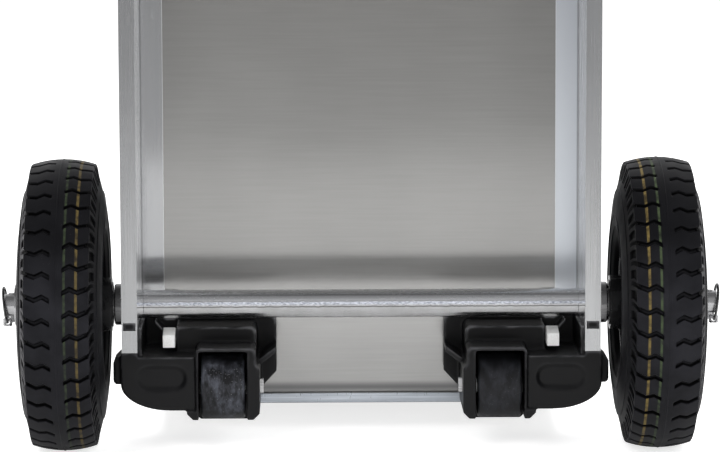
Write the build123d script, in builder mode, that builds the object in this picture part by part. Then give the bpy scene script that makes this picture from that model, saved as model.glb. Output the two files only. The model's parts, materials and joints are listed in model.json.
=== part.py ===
"""Aluminium hand truck: sheet back between deep rails, pneumatic wheels and two heel rollers.

Millimetres, +X to the right seen from behind, +Y forward over the toe plate, +Z up.
The origin lies on the floor under the middle of the bounding box.
"""
import os
from math import atan2, cos, pi, radians, sin, tan

from build123d import *

os.makedirs("parts", exist_ok=True)

# Clearances shared by the fits
running_gap = 0.05
slip_gap = 0.15
moulded_gap = 0.3

# Rails and back panel
inner_width = 399.4
rail_width = 14.0
rail_wall = 1.5
rail_bottom = 88.0
rail_length = 1000.0
lip_depth = 92.0
lip_width = 21.0
lip_thickness = 3.0
front_lip_width = 14.0
panel_thickness = 2.5
panel_top_drop = 20.0
panel_bend_radius = 3.2
panel_flange_length = 46.0

# Toe plate
toe_length = 235.0
toe_width = 372.0
heel_height = 26.5
heel_thickness = 9.7
heel_rounding = 1.5
ground_strip = 26.0
strip_thickness = 5.5
toe_tip_thickness = 4.0
toe_tip_rounding = 1.6
toe_corner_radius = 22.0

# Rivets and screws
rivet_radius = 2.4
rivet_head_radius = 5.0
rivet_head_height = 2.2
rivet_seat_depth = 1.5
head_rounding_share = 0.8
toe_screw_count = 6
toe_screw_span = 320.0
toe_screw_reach = 27.0
toe_screw_bite = 5.5
stiffener_rivet_count = 4
stiffener_rivet_span = 300.0
stiffener_rivet_tail = 2.0

# Axle
axle_setback = 15.0
axle_radius = 10.0
axle_overhang = 7.0
axle_end_chamfer = 1.5
axle_tube_radius = 12.5
bush_radius = 11.6
bush_flange_length = 5.5
collar_radius = 18.5
collar_length = 6.0
collar_nose_radius = 12.6
collar_chamfer = 1.0
washer_radius = 18.5
washer_thickness = 3.0

# Wheels
tyre_radius = 130.0
tyre_half_width = 36.8
tyre_widest_radius = 86.0
tread_half_width = 28.0
tread_drop = 4.5
shoulder_half_width = 32.6
shoulder_radius = 106.0
bead_shelf = 3.0
bead_floor = 2.0
tread_thickness = 14.0
sidewall_thickness = 7.5
bead_opening_half = 14.0
inner_tube_wall = 2.0
wheel_track = 528.6
rim_sheet = 2.5
rim_half_width = 29.5
rim_seat_radius = 50.5
rim_flange_height = 7.5
rim_disc_radius = 36.0
rim_cone_half_width = 16.0
rim_bolt_circle = 30.2
rim_bolt_count = 4
rim_bolt_radius = 3.0
rim_bolt_head_radius = 4.6
rim_bolt_head_height = 3.6
rim_nut_height = 4.5
rim_bolt_tail = 1.0
hub_length = 82.0
hub_wall = 3.0
hub_shoulder = 2.0
hub_lip_length = 2.2
hub_lip_step = 1.1
hub_lip_radius = 20.0
hub_lip_bore = 17.0
bearing_radius = 21.0
bearing_width = 12.0
bearing_ring_wall = 2.8
ball_radius = 3.2
ball_count = 9
inner_ring_stand = 0.4
valve_radius = 4.0
valve_length = 27.0
valve_root_depth = 3.0
valve_cap_radius = 4.9
valve_cap_length = 9.0
valve_cap_rounding = 1.2

# Lynch pins
pin_radius = 3.0
pin_tail = 0.8
pin_head_width = 8.0
pin_head_depth = 9.0
pin_head_height = 6.5
pin_head_rounding = 2.0
ring_radius = 15.5
ring_wire_radius = 1.2
ring_eye_radius = 2.2
ring_lean = 6.0

# Heel rollers
roller_radius = 29.5
roller_width = 39.0
roller_core_radius = 22.0
roller_edge_rounding = 2.5
roller_bush_radius = 8.0
roller_bolt_radius = 4.0
roller_bolt_head_radius = 7.0
roller_bolt_head_height = 3.2
roller_nut_radius = 7.5
roller_nut_height = 6.5
roller_bolt_tail = 2.0
roller_washer_radius = 7.5
roller_washer_thickness = 1.9
roller_ahead = 12.0
roller_height = 54.0
roller_middle = 123.8

# Roller brackets
plate_thickness = 6.0
plate_edge = 76.5
plate_top = 110.0
plate_rounding = 6.0
plate_chamfer_top = 58.5
plate_chamfer_foot = 45.5
plate_chamfer_run = 12.0
cheek_inner = 11.2
cheek_outer = 10.5
fork_bottom = 27.6
fork_top = 92.5
fork_chamfer = 5.5
fork_behind = 19.0
fork_rounding = 5.5
fork_edge_rounding = 1.5
fork_waist = 3.2
fork_waist_top = 78.0
fork_waist_foot = 73.0
cavity_headroom = 5.5
skirt_bottom = 17.5
skirt_margin = 4.0
skirt_thickness = 10.0
skirt_chamfer = 4.0
shelf_top = 106.3
shelf_ahead = 20.0
shelf_rounding = 6.0
shelf_edge_rounding = 2.0
shoe_end = 148.0
shoe_top = 84.0
shoe_bottom = 36.0
shoe_behind = 16.0
shoe_overhang = 1.0
shoe_curve_height = 24.0
shoe_curve_width = 43.5
oval_width = 46.0
oval_height = 24.0
oval_depth = 2.6
oval_slope = 4.0
oval_inset = 36.5
oval_level = 65.0
wing_width = 8.5
wing_bottom = 57.3
wing_top = 82.5
wing_chamfer = 5.0
wing_foot_chamfer = 2.5
wing_depth = 46.0
gusset_thickness = 5.5
gusset_rise = 13.0
gusset_top = 87.5
gusset_ahead = 22.0
slot_width = 11.5
slot_height = 7.0
slot_level = 111.5
tenon_depth = 40.0
tenon_headroom = 1.5
nut_pocket_gap = 1.0
side_wall_thickness = 3.5
side_wall_behind = 12.0
web_foot = 97.0
web_rise = 8.5
web_run = 8.0
web_thickness = 2.8
web_ahead = 45.0
notch_edge = 168.0
notch_width = 10.8
notch_depth = 2.4

# Bracket hangers
hanger_thickness = 4.0
hook_edge = 166.9
hook_width = 10.7
hook_bottom = 90.4
hook_shoulder = 101.8
hook_crest = 106.0
hook_neck_bottom = 91.5
hook_neck_top = 97.5
hook_room = 0.8
hanger_plate_bottom = 108.0
hanger_plate_top = 131.0

# Top stiffener and handle
stiffener_depth = 25.0
stiffener_height = 40.0
stiffener_wall = 2.0
stiffener_drop = 70.0
handle_radius = 12.5
handle_wall = 2.0
handle_ahead = 15.0
handle_leg_length = 200.0
handle_knee_above = 20.0
handle_rise = 90.0
handle_back = 85.0
handle_knee_radius = 60.0
handle_corner_radius = 55.0
grip_length = 220.0
grip_wall = 4.5
grip_rounding = 3.0
clamp_seat = 17.0
clamp_wall = 3.5
clamp_height = 34.0
clamp_half_depth = 28.0
clamp_rounding = 5.0
upper_clamp_drop = 45.0
lower_clamp_drop = 165.0
clamp_bolt_offset = 20.5
clamp_bolt_radius = 3.0
clamp_bolt_head_radius = 5.6
clamp_bolt_head_height = 3.4
clamp_bolt_bite = 22.0
cap_thickness = 3.0
cap_plug_depth = 12.0

# Places of the frame, worked out from the driving dimensions
rail_inner = inner_width / 2
rail_outer = rail_inner + rail_width
rail_top = rail_bottom + rail_length
panel_ahead = lip_depth - axle_setback + lip_thickness + slip_gap
axle_y = -(panel_ahead + toe_length - tyre_radius) / 2
axle_z = tyre_radius
rail_rear = axle_y - axle_setback
lip_rear = rail_rear + lip_depth
panel_rear = axle_y + panel_ahead
panel_front = panel_rear + panel_thickness
front_lip_rear = panel_front + slip_gap
rail_front = front_lip_rear + lip_thickness
rail_middle = (rail_rear + rail_front) / 2
panel_top = rail_top - panel_top_drop
panel_half = rail_inner - moulded_gap
axle_line = Axis((0, axle_y, axle_z), (1, 0, 0))

# The toe plate's upper face falls from the heel; the panel's flange lies on it
heel_top = heel_height + heel_thickness
toe_tip = panel_rear + toe_length
toe_fall = atan2(heel_top - strip_thickness, toe_length - ground_strip)
flange_end = (
    panel_rear + panel_flange_length * cos(toe_fall),
    heel_top - panel_flange_length * sin(toe_fall),
)
flange_end_top = (
    flange_end[0] + panel_thickness * sin(toe_fall),
    flange_end[1] + panel_thickness * cos(toe_fall),
)
bend_run = panel_thickness * (1 - sin(toe_fall)) / cos(toe_fall)
bend_inside = (panel_front, heel_top + panel_thickness * cos(toe_fall) - bend_run * sin(toe_fall))
toe_plane = Plane(
    origin=(0, panel_rear + toe_screw_reach * cos(toe_fall), heel_top - toe_screw_reach * sin(toe_fall)),
    x_dir=(1, 0, 0),
    z_dir=(0, sin(toe_fall), cos(toe_fall)),
)

# Wheels and lynch pins
wheel_x = wheel_track / 2
hub_radius = bearing_radius + hub_wall
inner_ring_reach = hub_length / 2 + inner_ring_stand
ball_circle = (axle_radius + bearing_radius) / 2
rim_flange_radius = rim_seat_radius + rim_flange_height
bead_half = rim_half_width - rim_sheet - slip_gap
cavity_floor = rim_flange_radius + bead_floor
cavity_middle = (tyre_radius - tread_thickness + cavity_floor) / 2
cavity_half_height = (tyre_radius - tread_thickness - cavity_floor) / 2
cavity_half_width = tyre_half_width - sidewall_thickness
washer_inside = wheel_x + inner_ring_reach
pin_x = washer_inside + washer_thickness + slip_gap + pin_radius
axle_half = pin_x + axle_overhang
eye_x = pin_x + pin_head_width / 2
eye_z = axle_z - ring_radius
lean = radians(ring_lean)

# Brackets, hangers and rollers
roller_y = axle_y + roller_ahead
cavity_low = roller_middle - roller_width / 2 - roller_washer_thickness - moulded_gap
cavity_high = roller_middle + roller_width / 2 + roller_washer_thickness + moulded_gap
fork_low = cavity_low - cheek_inner
fork_high = cavity_high + cheek_outer
fork_rear = axle_y - fork_behind
plate_front = lip_rear - hanger_thickness - moulded_gap
plate_rear = plate_front - plate_thickness
shelf_rear = axle_y + shelf_ahead
shelf_edge = fork_low + fork_waist
shelf_end = hook_edge - hook_room
web_edge = hook_edge + hook_width + hook_room
plate_end = rail_inner - moulded_gap
shoe_rear = axle_y - shoe_behind
shoe_outer = rail_outer + shoe_overhang
hanger_rivet_x = rail_inner - front_lip_width / 2
hanger_rivet_z = (hanger_plate_bottom + hanger_plate_top) / 2

# Stiffener and handle
stiffener_half = rail_inner - lip_width - moulded_gap
stiffener_z = rail_top - stiffener_drop + stiffener_height / 2
handle_x = rail_inner - clamp_seat
handle_y = axle_y + handle_ahead
handle_top = rail_top + handle_knee_above + handle_rise
clamp_levels = (rail_top - upper_clamp_drop, rail_top - lower_clamp_drop)


def rear_plane(y):
    """A plane at depth y seen from behind: local x is +X, local y is +Z, and minus its normal is forward."""
    return Plane(origin=(0, y, 0), x_dir=(1, 0, 0), z_dir=(0, -1, 0))


def side_plane(x):
    """A plane across the truck at x, with local x along +Y and local y along +Z."""
    return Plane(origin=(x, 0, 0), x_dir=(0, 1, 0), z_dir=(1, 0, 0))


def cross_plane(x, y, z):
    """A plane square to the X axis at a point, for round pieces along X."""
    return Plane(origin=(x, y, z), x_dir=(0, 1, 0), z_dir=(1, 0, 0))


def save(piece, name):
    """Label a finished piece and write it as a STEP file."""
    piece.label = name
    export_step(piece, f"parts/{name}.step")


def save_pair(piece, name):
    """Write a right-hand piece and its mirror image on the left."""
    save(piece, f"right_{name}")
    save(mirror(piece, about=Plane.YZ), f"left_{name}")


def both_sides(piece):
    """A group of the right-hand solids and their mirror images."""
    return Compound([*piece.solids(), *mirror(piece, about=Plane.YZ).solids()])


def spread(count, span, level=0.0):
    """Points in an even row across a span, centred on X = 0."""
    return [(span * (i / (count - 1) - 0.5), level) for i in range(count)]


def tube_along_x(low, high, outer, inner, y=axle_y, z=axle_z):
    """A round tube along X between two stations."""
    with BuildPart() as tube:
        with BuildSketch(cross_plane(low, y, z)):
            Circle(outer)
            Circle(inner, mode=Mode.SUBTRACT)
        extrude(amount=high - low)
    return tube.part


def domed_fasteners(plane, places, head_radius, head_height, shank_radius, shank_length):
    """Round-headed fasteners: heads on the plane, shanks below it."""
    with BuildPart() as group:
        with BuildSketch(plane):
            with Locations(places):
                Circle(head_radius)
        extrude(amount=head_height)
        rims = group.edges().filter_by(lambda edge: plane.to_local_coords(edge.center()).Z > head_height / 2)
        fillet(rims, head_rounding_share * head_height)
        with BuildSketch(plane):
            with Locations(places):
                Circle(shank_radius)
        extrude(amount=-shank_length)
    return group.part


def wheel_section():
    """The half section of a wheel: local x along the axle from the wheel's middle, local y the radius."""
    return Plane(origin=(wheel_x, axle_y, axle_z), x_dir=(1, 0, 0), z_dir=(0, -1, 0))


# Rails: deep box sections with a groove for the panel between two inner lips
with BuildPart() as rail:
    with BuildSketch(Plane.XY.offset(rail_bottom)):
        with Locations((rail_inner + rail_width / 2, rail_middle)):
            Rectangle(rail_width, rail_front - rail_rear)
            Rectangle(rail_width - 2 * rail_wall, rail_front - rail_rear - 2 * rail_wall, mode=Mode.SUBTRACT)
        with Locations((rail_inner, lip_rear)):
            Rectangle(lip_width, lip_thickness, align=(Align.MAX, Align.MIN))
        with Locations((rail_inner, front_lip_rear)):
            Rectangle(front_lip_width, lip_thickness, align=(Align.MAX, Align.MIN))
    extrude(amount=rail_length)
    with BuildSketch(cross_plane(0, axle_y, axle_z)):
        Circle(bush_radius + slip_gap)
    extrude(amount=rail_outer, mode=Mode.SUBTRACT)
    with BuildSketch(rear_plane(rail_rear)):
        with Locations((rail_inner + rail_width / 2, slot_level)):
            Rectangle(slot_width, slot_height)
    extrude(amount=-rail_wall, mode=Mode.SUBTRACT)
    with BuildSketch(rear_plane(lip_rear)):
        with Locations((hanger_rivet_x, hanger_rivet_z)):
            Circle(rivet_radius + slip_gap)
    extrude(amount=-(rail_front - lip_rear), mode=Mode.SUBTRACT)
    with BuildSketch(rear_plane(rail_front)):
        with Locations((hanger_rivet_x, hanger_rivet_z)):
            Circle(rivet_head_radius + slip_gap)
    extrude(amount=rivet_seat_depth, mode=Mode.SUBTRACT)
    for level in clamp_levels:
        with BuildSketch(cross_plane(0, handle_y, level)):
            with Locations((clamp_bolt_offset, 0), (-clamp_bolt_offset, 0)):
                Circle(clamp_bolt_radius + slip_gap)
        extrude(amount=rail_outer, mode=Mode.SUBTRACT)
save_pair(rail.part, "rail")

# Caps in the rails' upper ends
with BuildPart() as cap:
    with BuildSketch(Plane.XY.offset(rail_top)):
        with Locations((rail_inner + rail_width / 2, rail_middle)):
            Rectangle(rail_width, rail_front - rail_rear)
    extrude(amount=cap_thickness)
    fillet(cap.edges().group_by(Axis.Z)[-1], cap_thickness / 2)
    with BuildSketch(Plane.XY.offset(rail_top)):
        with Locations((rail_inner + rail_width / 2, rail_middle)):
            Rectangle(
                rail_width - 2 * (rail_wall + slip_gap),
                rail_front - rail_rear - 2 * (rail_wall + slip_gap),
            )
    extrude(amount=-cap_plug_depth)
save(both_sides(cap.part), "rail_caps")

# Back panel: a sheet in the rails' grooves whose foot is bent forward onto the toe plate
with BuildPart() as back_panel:
    with BuildSketch(side_plane(-panel_half)):
        with BuildLine():
            outside = FilletPolyline(
                (panel_rear, panel_top), (panel_rear, heel_top), flange_end, radius=panel_bend_radius
            )
            inside = FilletPolyline(
                (panel_front, panel_top),
                bend_inside,
                flange_end_top,
                radius=panel_bend_radius - panel_thickness,
            )
            Line(outside @ 0, inside @ 0)
            Line(outside @ 1, inside @ 1)
        make_face()
    extrude(amount=2 * panel_half)
    # Below the rails the sheet is only as wide as the toe plate
    with BuildSketch(rear_plane(panel_rear)):
        corner_middle = (toe_width / 2 + panel_half) / 2
        with Locations((corner_middle, rail_bottom / 2), (-corner_middle, rail_bottom / 2)):
            Rectangle(panel_half - toe_width / 2, rail_bottom)
    extrude(amount=-2 * panel_flange_length, mode=Mode.SUBTRACT)
    with BuildSketch(toe_plane):
        with Locations(spread(toe_screw_count, toe_screw_span)):
            Circle(rivet_radius + slip_gap)
    extrude(amount=2 * panel_thickness, mode=Mode.SUBTRACT)
    with BuildSketch(rear_plane(panel_rear)):
        with Locations((hanger_rivet_x, hanger_rivet_z), (-hanger_rivet_x, hanger_rivet_z)):
            Circle(rivet_radius + slip_gap)
        with Locations(spread(stiffener_rivet_count, stiffener_rivet_span, stiffener_z)):
            Circle(rivet_radius + slip_gap)
    extrude(amount=-panel_thickness, mode=Mode.SUBTRACT)
save(back_panel.part, "back_panel")

# Toe plate: a plank that slopes from its raised heel down to the floor
with BuildPart() as toe_plate:
    with BuildSketch(side_plane(-toe_width / 2)) as toe_profile:
        with BuildLine():
            Polyline(
                (panel_rear, heel_top),
                (panel_rear, heel_height),
                (toe_tip - ground_strip, 0),
                (toe_tip, 0),
                (toe_tip, toe_tip_thickness),
                (toe_tip - ground_strip, strip_thickness),
                close=True,
            )
        make_face()
        fillet(toe_profile.vertices().group_by(Axis.X)[0], heel_rounding)
        fillet(toe_profile.vertices().group_by(Axis.X)[-1].sort_by(Axis.Y)[-1], toe_tip_rounding)
    extrude(amount=toe_width)
    with BuildSketch() as toe_plan:
        with Locations((0, panel_rear)):
            Rectangle(toe_width, toe_length, align=(Align.CENTER, Align.MIN))
        fillet(toe_plan.vertices().group_by(Axis.Y)[-1], toe_corner_radius)
    extrude(amount=heel_top, mode=Mode.INTERSECT)
    with BuildSketch(toe_plane):
        with Locations(spread(toe_screw_count, toe_screw_span)):
            Circle(rivet_radius + slip_gap)
    extrude(amount=-toe_screw_bite, mode=Mode.SUBTRACT)
save(toe_plate.part, "toe_plate")

# Screws through the panel's flange into the toe plate
toe_screws = domed_fasteners(
    toe_plane.offset(panel_thickness),
    spread(toe_screw_count, toe_screw_span),
    rivet_head_radius,
    rivet_head_height,
    rivet_radius,
    panel_thickness + toe_screw_bite,
)
save(toe_screws, "toe_plate_screws")

# Stiffener across the back of the panel, near its top
with BuildPart() as top_stiffener:
    with BuildSketch(side_plane(-stiffener_half)):
        with Locations((panel_rear - stiffener_depth / 2, stiffener_z)):
            Rectangle(stiffener_depth, stiffener_height)
            Rectangle(
                stiffener_depth - 2 * stiffener_wall, stiffener_height - 2 * stiffener_wall, mode=Mode.SUBTRACT
            )
    extrude(amount=2 * stiffener_half)
    with BuildSketch(rear_plane(panel_rear)):
        with Locations(spread(stiffener_rivet_count, stiffener_rivet_span, stiffener_z)):
            Circle(rivet_radius + slip_gap)
    extrude(amount=stiffener_wall, mode=Mode.SUBTRACT)
save(top_stiffener.part, "top_stiffener")

# Rivets of the stiffener, with heads on the panel, and of the hangers, whose front heads are sunk flush
front_plane = Plane(origin=(0, panel_front, 0), x_dir=(-1, 0, 0), z_dir=(0, 1, 0))
stiffener_rivets = domed_fasteners(
    front_plane,
    spread(stiffener_rivet_count, stiffener_rivet_span, stiffener_z),
    rivet_head_radius,
    rivet_head_height,
    rivet_radius,
    panel_thickness + stiffener_wall + stiffener_rivet_tail,
)
hanger_stack = rail_front - lip_rear + hanger_thickness
with BuildPart() as hanger_rivets:
    add(
        domed_fasteners(
            rear_plane(lip_rear - hanger_thickness),
            [(hanger_rivet_x, hanger_rivet_z), (-hanger_rivet_x, hanger_rivet_z)],
            rivet_head_radius,
            rivet_head_height,
            rivet_radius,
            hanger_stack,
        )
    )
    with BuildSketch(rear_plane(rail_front)):
        with Locations((hanger_rivet_x, hanger_rivet_z), (-hanger_rivet_x, hanger_rivet_z)):
            Circle(rivet_head_radius)
    extrude(amount=rivet_seat_depth)
save(Compound([*stiffener_rivets.solids(), *hanger_rivets.part.solids()]), "panel_rivets")

# Axle: a rod through rails and hubs, held by lynch pins, inside a tube that spaces the rails
tube_half = rail_inner - bush_flange_length
save(
    tube_along_x(-tube_half, tube_half, axle_tube_radius, axle_radius + slip_gap),
    "axle_tube",
)

with BuildPart() as axle_rod:
    with BuildSketch(cross_plane(-axle_half, axle_y, axle_z)):
        Circle(axle_radius)
    extrude(amount=2 * axle_half)
    chamfer(axle_rod.edges().filter_by(GeomType.CIRCLE), axle_end_chamfer)
    with BuildSketch(Plane.XY.offset(axle_z)):
        with Locations((pin_x, axle_y), (-pin_x, axle_y)):
            Circle(pin_radius + slip_gap)
    extrude(amount=2 * axle_radius, both=True, mode=Mode.SUBTRACT)
save(axle_rod.part, "axle_rod")

with BuildPart() as axle_bush:
    with BuildSketch(cross_plane(tube_half, axle_y, axle_z)):
        Circle(axle_tube_radius)
    extrude(amount=bush_flange_length)
    with BuildSketch(cross_plane(rail_inner, axle_y, axle_z)):
        Circle(bush_radius)
    extrude(amount=rail_width)
    with BuildSketch(cross_plane(tube_half, axle_y, axle_z)):
        Circle(axle_radius + running_gap)
    extrude(amount=bush_flange_length + rail_width, mode=Mode.SUBTRACT)
save(both_sides(axle_bush.part), "axle_bushes")

with BuildPart() as axle_collar:
    with BuildSketch(cross_plane(rail_outer, axle_y, axle_z)):
        Circle(collar_radius)
    extrude(amount=collar_length)
    chamfer(axle_collar.edges().group_by(Axis.X)[-1], collar_chamfer)
    with BuildSketch(cross_plane(rail_outer, axle_y, axle_z)):
        Circle(collar_nose_radius)
    extrude(amount=wheel_x - inner_ring_reach - rail_outer)
    with BuildSketch(cross_plane(rail_outer, axle_y, axle_z)):
        Circle(axle_radius + running_gap)
    extrude(amount=wheel_x - inner_ring_reach - rail_outer, mode=Mode.SUBTRACT)
save_pair(axle_collar.part, "axle_collar")

hub_washer = tube_along_x(
    washer_inside, washer_inside + washer_thickness, washer_radius, axle_radius + running_gap
)
save(both_sides(hub_washer), "hub_washers")

# Lynch pins and their spring rings
with BuildPart() as lynch_pin:
    with BuildSketch(Plane.XY.offset(eye_z - pin_head_height / 2)):
        with Locations((eye_x, axle_y)):
            RectangleRounded(pin_head_width, pin_head_depth, pin_head_rounding)
    extrude(amount=pin_head_height)
    with BuildSketch(Plane.XY.offset(eye_z)):
        with Locations((pin_x, axle_y)):
            Circle(pin_radius)
    extrude(amount=axle_z + axle_radius + pin_tail - eye_z)
    with BuildSketch(rear_plane(axle_y)):
        with Locations((eye_x, eye_z)):
            Circle(ring_eye_radius)
    extrude(amount=pin_head_depth, both=True, mode=Mode.SUBTRACT)
save_pair(lynch_pin.part, "lynch_pin")

ring_plane = Plane(
    origin=(eye_x + ring_radius * sin(lean), axle_y, eye_z + ring_radius * cos(lean)),
    x_dir=(0, 1, 0),
    z_dir=(cos(lean), 0, -sin(lean)),
)
with BuildPart() as pin_ring:
    with Locations(ring_plane):
        Torus(ring_radius, ring_wire_radius)
save_pair(pin_ring.part, "pin_ring")

# Tyre: a hollow ring, open between its beads
with BuildPart() as tyre:
    with BuildSketch(wheel_section()) as tyre_profile:
        with BuildLine():
            crown = TangentArc(
                (0, tyre_radius), (tread_half_width, tyre_radius - tread_drop), tangent=(1, 0)
            )
            sidewall = Spline(
                crown @ 1,
                (shoulder_half_width, shoulder_radius),
                (tyre_half_width, tyre_widest_radius),
                (bead_half + 2 * bead_shelf, rim_flange_radius + bead_shelf),
            )
            Polyline(
                sidewall @ 1,
                (bead_half, rim_flange_radius + moulded_gap),
                (bead_half, rim_seat_radius + slip_gap),
                (0, rim_seat_radius + slip_gap),
                (0, tyre_radius),
            )
        make_face()
        mirror(about=Plane.YZ)
        with Locations((0, cavity_middle)):
            Ellipse(cavity_half_width, cavity_half_height, mode=Mode.SUBTRACT)
        with Locations((0, cavity_middle)):
            Rectangle(
                2 * bead_opening_half, cavity_middle, align=(Align.CENTER, Align.MAX), mode=Mode.SUBTRACT
            )
    revolve(axis=axle_line)
save_pair(tyre.part, "tyre")

with BuildPart() as inner_tube:
    with BuildSketch(wheel_section()):
        with Locations((0, cavity_middle)):
            Ellipse(cavity_half_width - moulded_gap, cavity_half_height - moulded_gap)
            Ellipse(
                cavity_half_width - moulded_gap - inner_tube_wall,
                cavity_half_height - moulded_gap - inner_tube_wall,
                mode=Mode.SUBTRACT,
            )
    revolve(axis=axle_line)
save_pair(inner_tube.part, "inner_tube")

# Rim: two pressed halves bolted together around the hub; the valve leans out through the outer half
cone_angle = atan2(rim_seat_radius - rim_sheet - rim_disc_radius, rim_cone_half_width - rim_sheet)
disc_mitre = rim_sheet * tan((pi / 2 - cone_angle) / 2)
seat_mitre = rim_sheet * tan(cone_angle / 2)
valve_plane = Plane(
    origin=(wheel_x, axle_y, axle_z + cavity_floor - valve_root_depth),
    x_dir=(0, 1, 0),
    z_dir=(1, 0, -1),
)

for face, name in ((1, "rim_outer"), (-1, "rim_inner")):
    with BuildPart() as rim:
        with BuildSketch(wheel_section()):
            with BuildLine():
                Polyline(
                    (0, hub_radius + running_gap),
                    (face * rim_sheet, hub_radius + running_gap),
                    (face * rim_sheet, rim_disc_radius),
                    (face * rim_cone_half_width, rim_seat_radius - rim_sheet),
                    (face * rim_half_width, rim_seat_radius - rim_sheet),
                    (face * rim_half_width, rim_flange_radius),
                    (face * (rim_half_width - rim_sheet), rim_flange_radius),
                    (face * (rim_half_width - rim_sheet), rim_seat_radius),
                    (face * (rim_cone_half_width - seat_mitre), rim_seat_radius),
                    (0, rim_disc_radius + disc_mitre),
                    close=True,
                )
            make_face()
        revolve(axis=axle_line)
        with BuildSketch(cross_plane(wheel_x, axle_y, axle_z)):
            with PolarLocations(rim_bolt_circle, rim_bolt_count, start_angle=180 / rim_bolt_count):
                Circle(rim_bolt_radius + slip_gap)
        extrude(amount=rim_sheet, both=True, mode=Mode.SUBTRACT)
        if name == "rim_outer":
            with BuildSketch(valve_plane):
                Circle(valve_radius + moulded_gap)
            extrude(amount=valve_length, mode=Mode.SUBTRACT)
    save_pair(rim.part, name)

with BuildPart() as rim_bolts:
    with BuildSketch(cross_plane(wheel_x + rim_sheet, axle_y, axle_z)):
        with PolarLocations(rim_bolt_circle, rim_bolt_count, start_angle=180 / rim_bolt_count):
            RegularPolygon(rim_bolt_head_radius, 6)
    extrude(amount=rim_bolt_head_height)
    with BuildSketch(cross_plane(wheel_x + rim_sheet, axle_y, axle_z)):
        with PolarLocations(rim_bolt_circle, rim_bolt_count, start_angle=180 / rim_bolt_count):
            Circle(rim_bolt_radius)
    extrude(amount=-(2 * rim_sheet + rim_nut_height + rim_bolt_tail))
save_pair(rim_bolts.part, "rim_bolts")

with BuildPart() as rim_nuts:
    with BuildSketch(cross_plane(wheel_x - rim_sheet, axle_y, axle_z)):
        with PolarLocations(rim_bolt_circle, rim_bolt_count, start_angle=180 / rim_bolt_count):
            RegularPolygon(rim_bolt_head_radius, 6)
            Circle(rim_bolt_radius + running_gap, mode=Mode.SUBTRACT)
    extrude(amount=-rim_nut_height)
save_pair(rim_nuts.part, "rim_nuts")

with BuildPart() as valve_stem:
    with BuildSketch(valve_plane):
        Circle(valve_radius)
    extrude(amount=valve_length)
save_pair(valve_stem.part, "valve_stem")

with BuildPart() as valve_cap:
    with BuildSketch(valve_plane.offset(valve_length)):
        Circle(valve_cap_radius)
    extrude(amount=valve_cap_length)
    cap_end = valve_cap.faces().sort_by(Axis(valve_plane.origin, valve_plane.z_dir))[-1]
    fillet(cap_end.edges(), valve_cap_rounding)
save_pair(valve_cap.part, "valve_cap")

# Hub: a sleeve with a seat for a ball bearing at each end, and a stepped lip crimped over the inboard one
with BuildPart() as hub:
    add(
        tube_along_x(
            wheel_x - hub_length / 2, wheel_x + hub_length / 2, hub_radius, bearing_radius - hub_shoulder
        )
    )
    for station in (wheel_x - hub_length / 2, wheel_x + hub_length / 2 - bearing_width):
        with BuildSketch(cross_plane(station, axle_y, axle_z)):
            Circle(bearing_radius + running_gap)
        extrude(amount=bearing_width, mode=Mode.SUBTRACT)
    inboard = wheel_x - hub_length / 2
    add(tube_along_x(inboard - hub_lip_step, inboard, hub_radius, hub_lip_bore))
    add(tube_along_x(inboard - hub_lip_length, inboard - hub_lip_step, hub_lip_radius, hub_lip_bore))
save_pair(hub.part, "hub")

bearing_stations = [wheel_x + end * (hub_length - bearing_width) / 2 for end in (-1, 1)]
with BuildPart() as outer_rings:
    for station in bearing_stations:
        add(
            tube_along_x(
                station - bearing_width / 2,
                station + bearing_width / 2,
                bearing_radius,
                bearing_radius - bearing_ring_wall,
            )
        )
        with Locations(cross_plane(station, axle_y, axle_z)):
            Torus(ball_circle, ball_radius + running_gap, mode=Mode.SUBTRACT)
save_pair(outer_rings.part, "bearing_outer_rings")

with BuildPart() as inner_rings:
    for end, station in zip((-1, 1), bearing_stations):
        faces = sorted((station - end * bearing_width / 2, wheel_x + end * inner_ring_reach))
        add(tube_along_x(*faces, axle_radius + bearing_ring_wall, axle_radius + running_gap))
        with Locations(cross_plane(station, axle_y, axle_z)):
            Torus(ball_circle, ball_radius + 2 * running_gap, mode=Mode.SUBTRACT)
save(both_sides(inner_rings.part), "bearing_inner_rings")

with BuildPart() as balls:
    for station in bearing_stations:
        with Locations(cross_plane(station, axle_y, axle_z)):
            with PolarLocations(ball_circle, ball_count):
                Sphere(ball_radius)
save_pair(balls.part, "bearing_balls")

# Heel rollers: a tread on a core, turning with a bush on a bolt
roller_low = roller_middle - roller_width / 2
roller_high = roller_middle + roller_width / 2


def roller_tube(outer, inner):
    """A round layer of the heel roller, as wide as the roller."""
    return tube_along_x(roller_low, roller_high, outer, inner, roller_y, roller_height)


with BuildPart() as roller_tread:
    add(roller_tube(roller_radius, roller_core_radius + running_gap))
    rims = roller_tread.edges().filter_by(GeomType.CIRCLE).group_by(SortBy.RADIUS)[-1]
    fillet(rims, roller_edge_rounding)
save_pair(roller_tread.part, "roller_tread")
save_pair(roller_tube(roller_core_radius, roller_bush_radius + running_gap), "roller_core")
save_pair(roller_tube(roller_bush_radius, roller_bolt_radius + running_gap), "roller_bush")

bolt_plane = cross_plane(fork_low, roller_y, roller_height)
with BuildPart() as roller_bolt:
    with BuildSketch(bolt_plane):
        RegularPolygon(roller_bolt_head_radius, 6)
    extrude(amount=-roller_bolt_head_height)
    with BuildSketch(bolt_plane):
        Circle(roller_bolt_radius)
    extrude(amount=fork_high + roller_nut_height + roller_bolt_tail - fork_low)
save(both_sides(roller_bolt.part), "roller_bolts")

with BuildPart() as roller_nut:
    with BuildSketch(cross_plane(fork_high, roller_y, roller_height)):
        RegularPolygon(roller_nut_radius, 6)
        Circle(roller_bolt_radius + running_gap, mode=Mode.SUBTRACT)
    extrude(amount=roller_nut_height)
save(both_sides(roller_nut.part), "roller_nuts")

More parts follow.
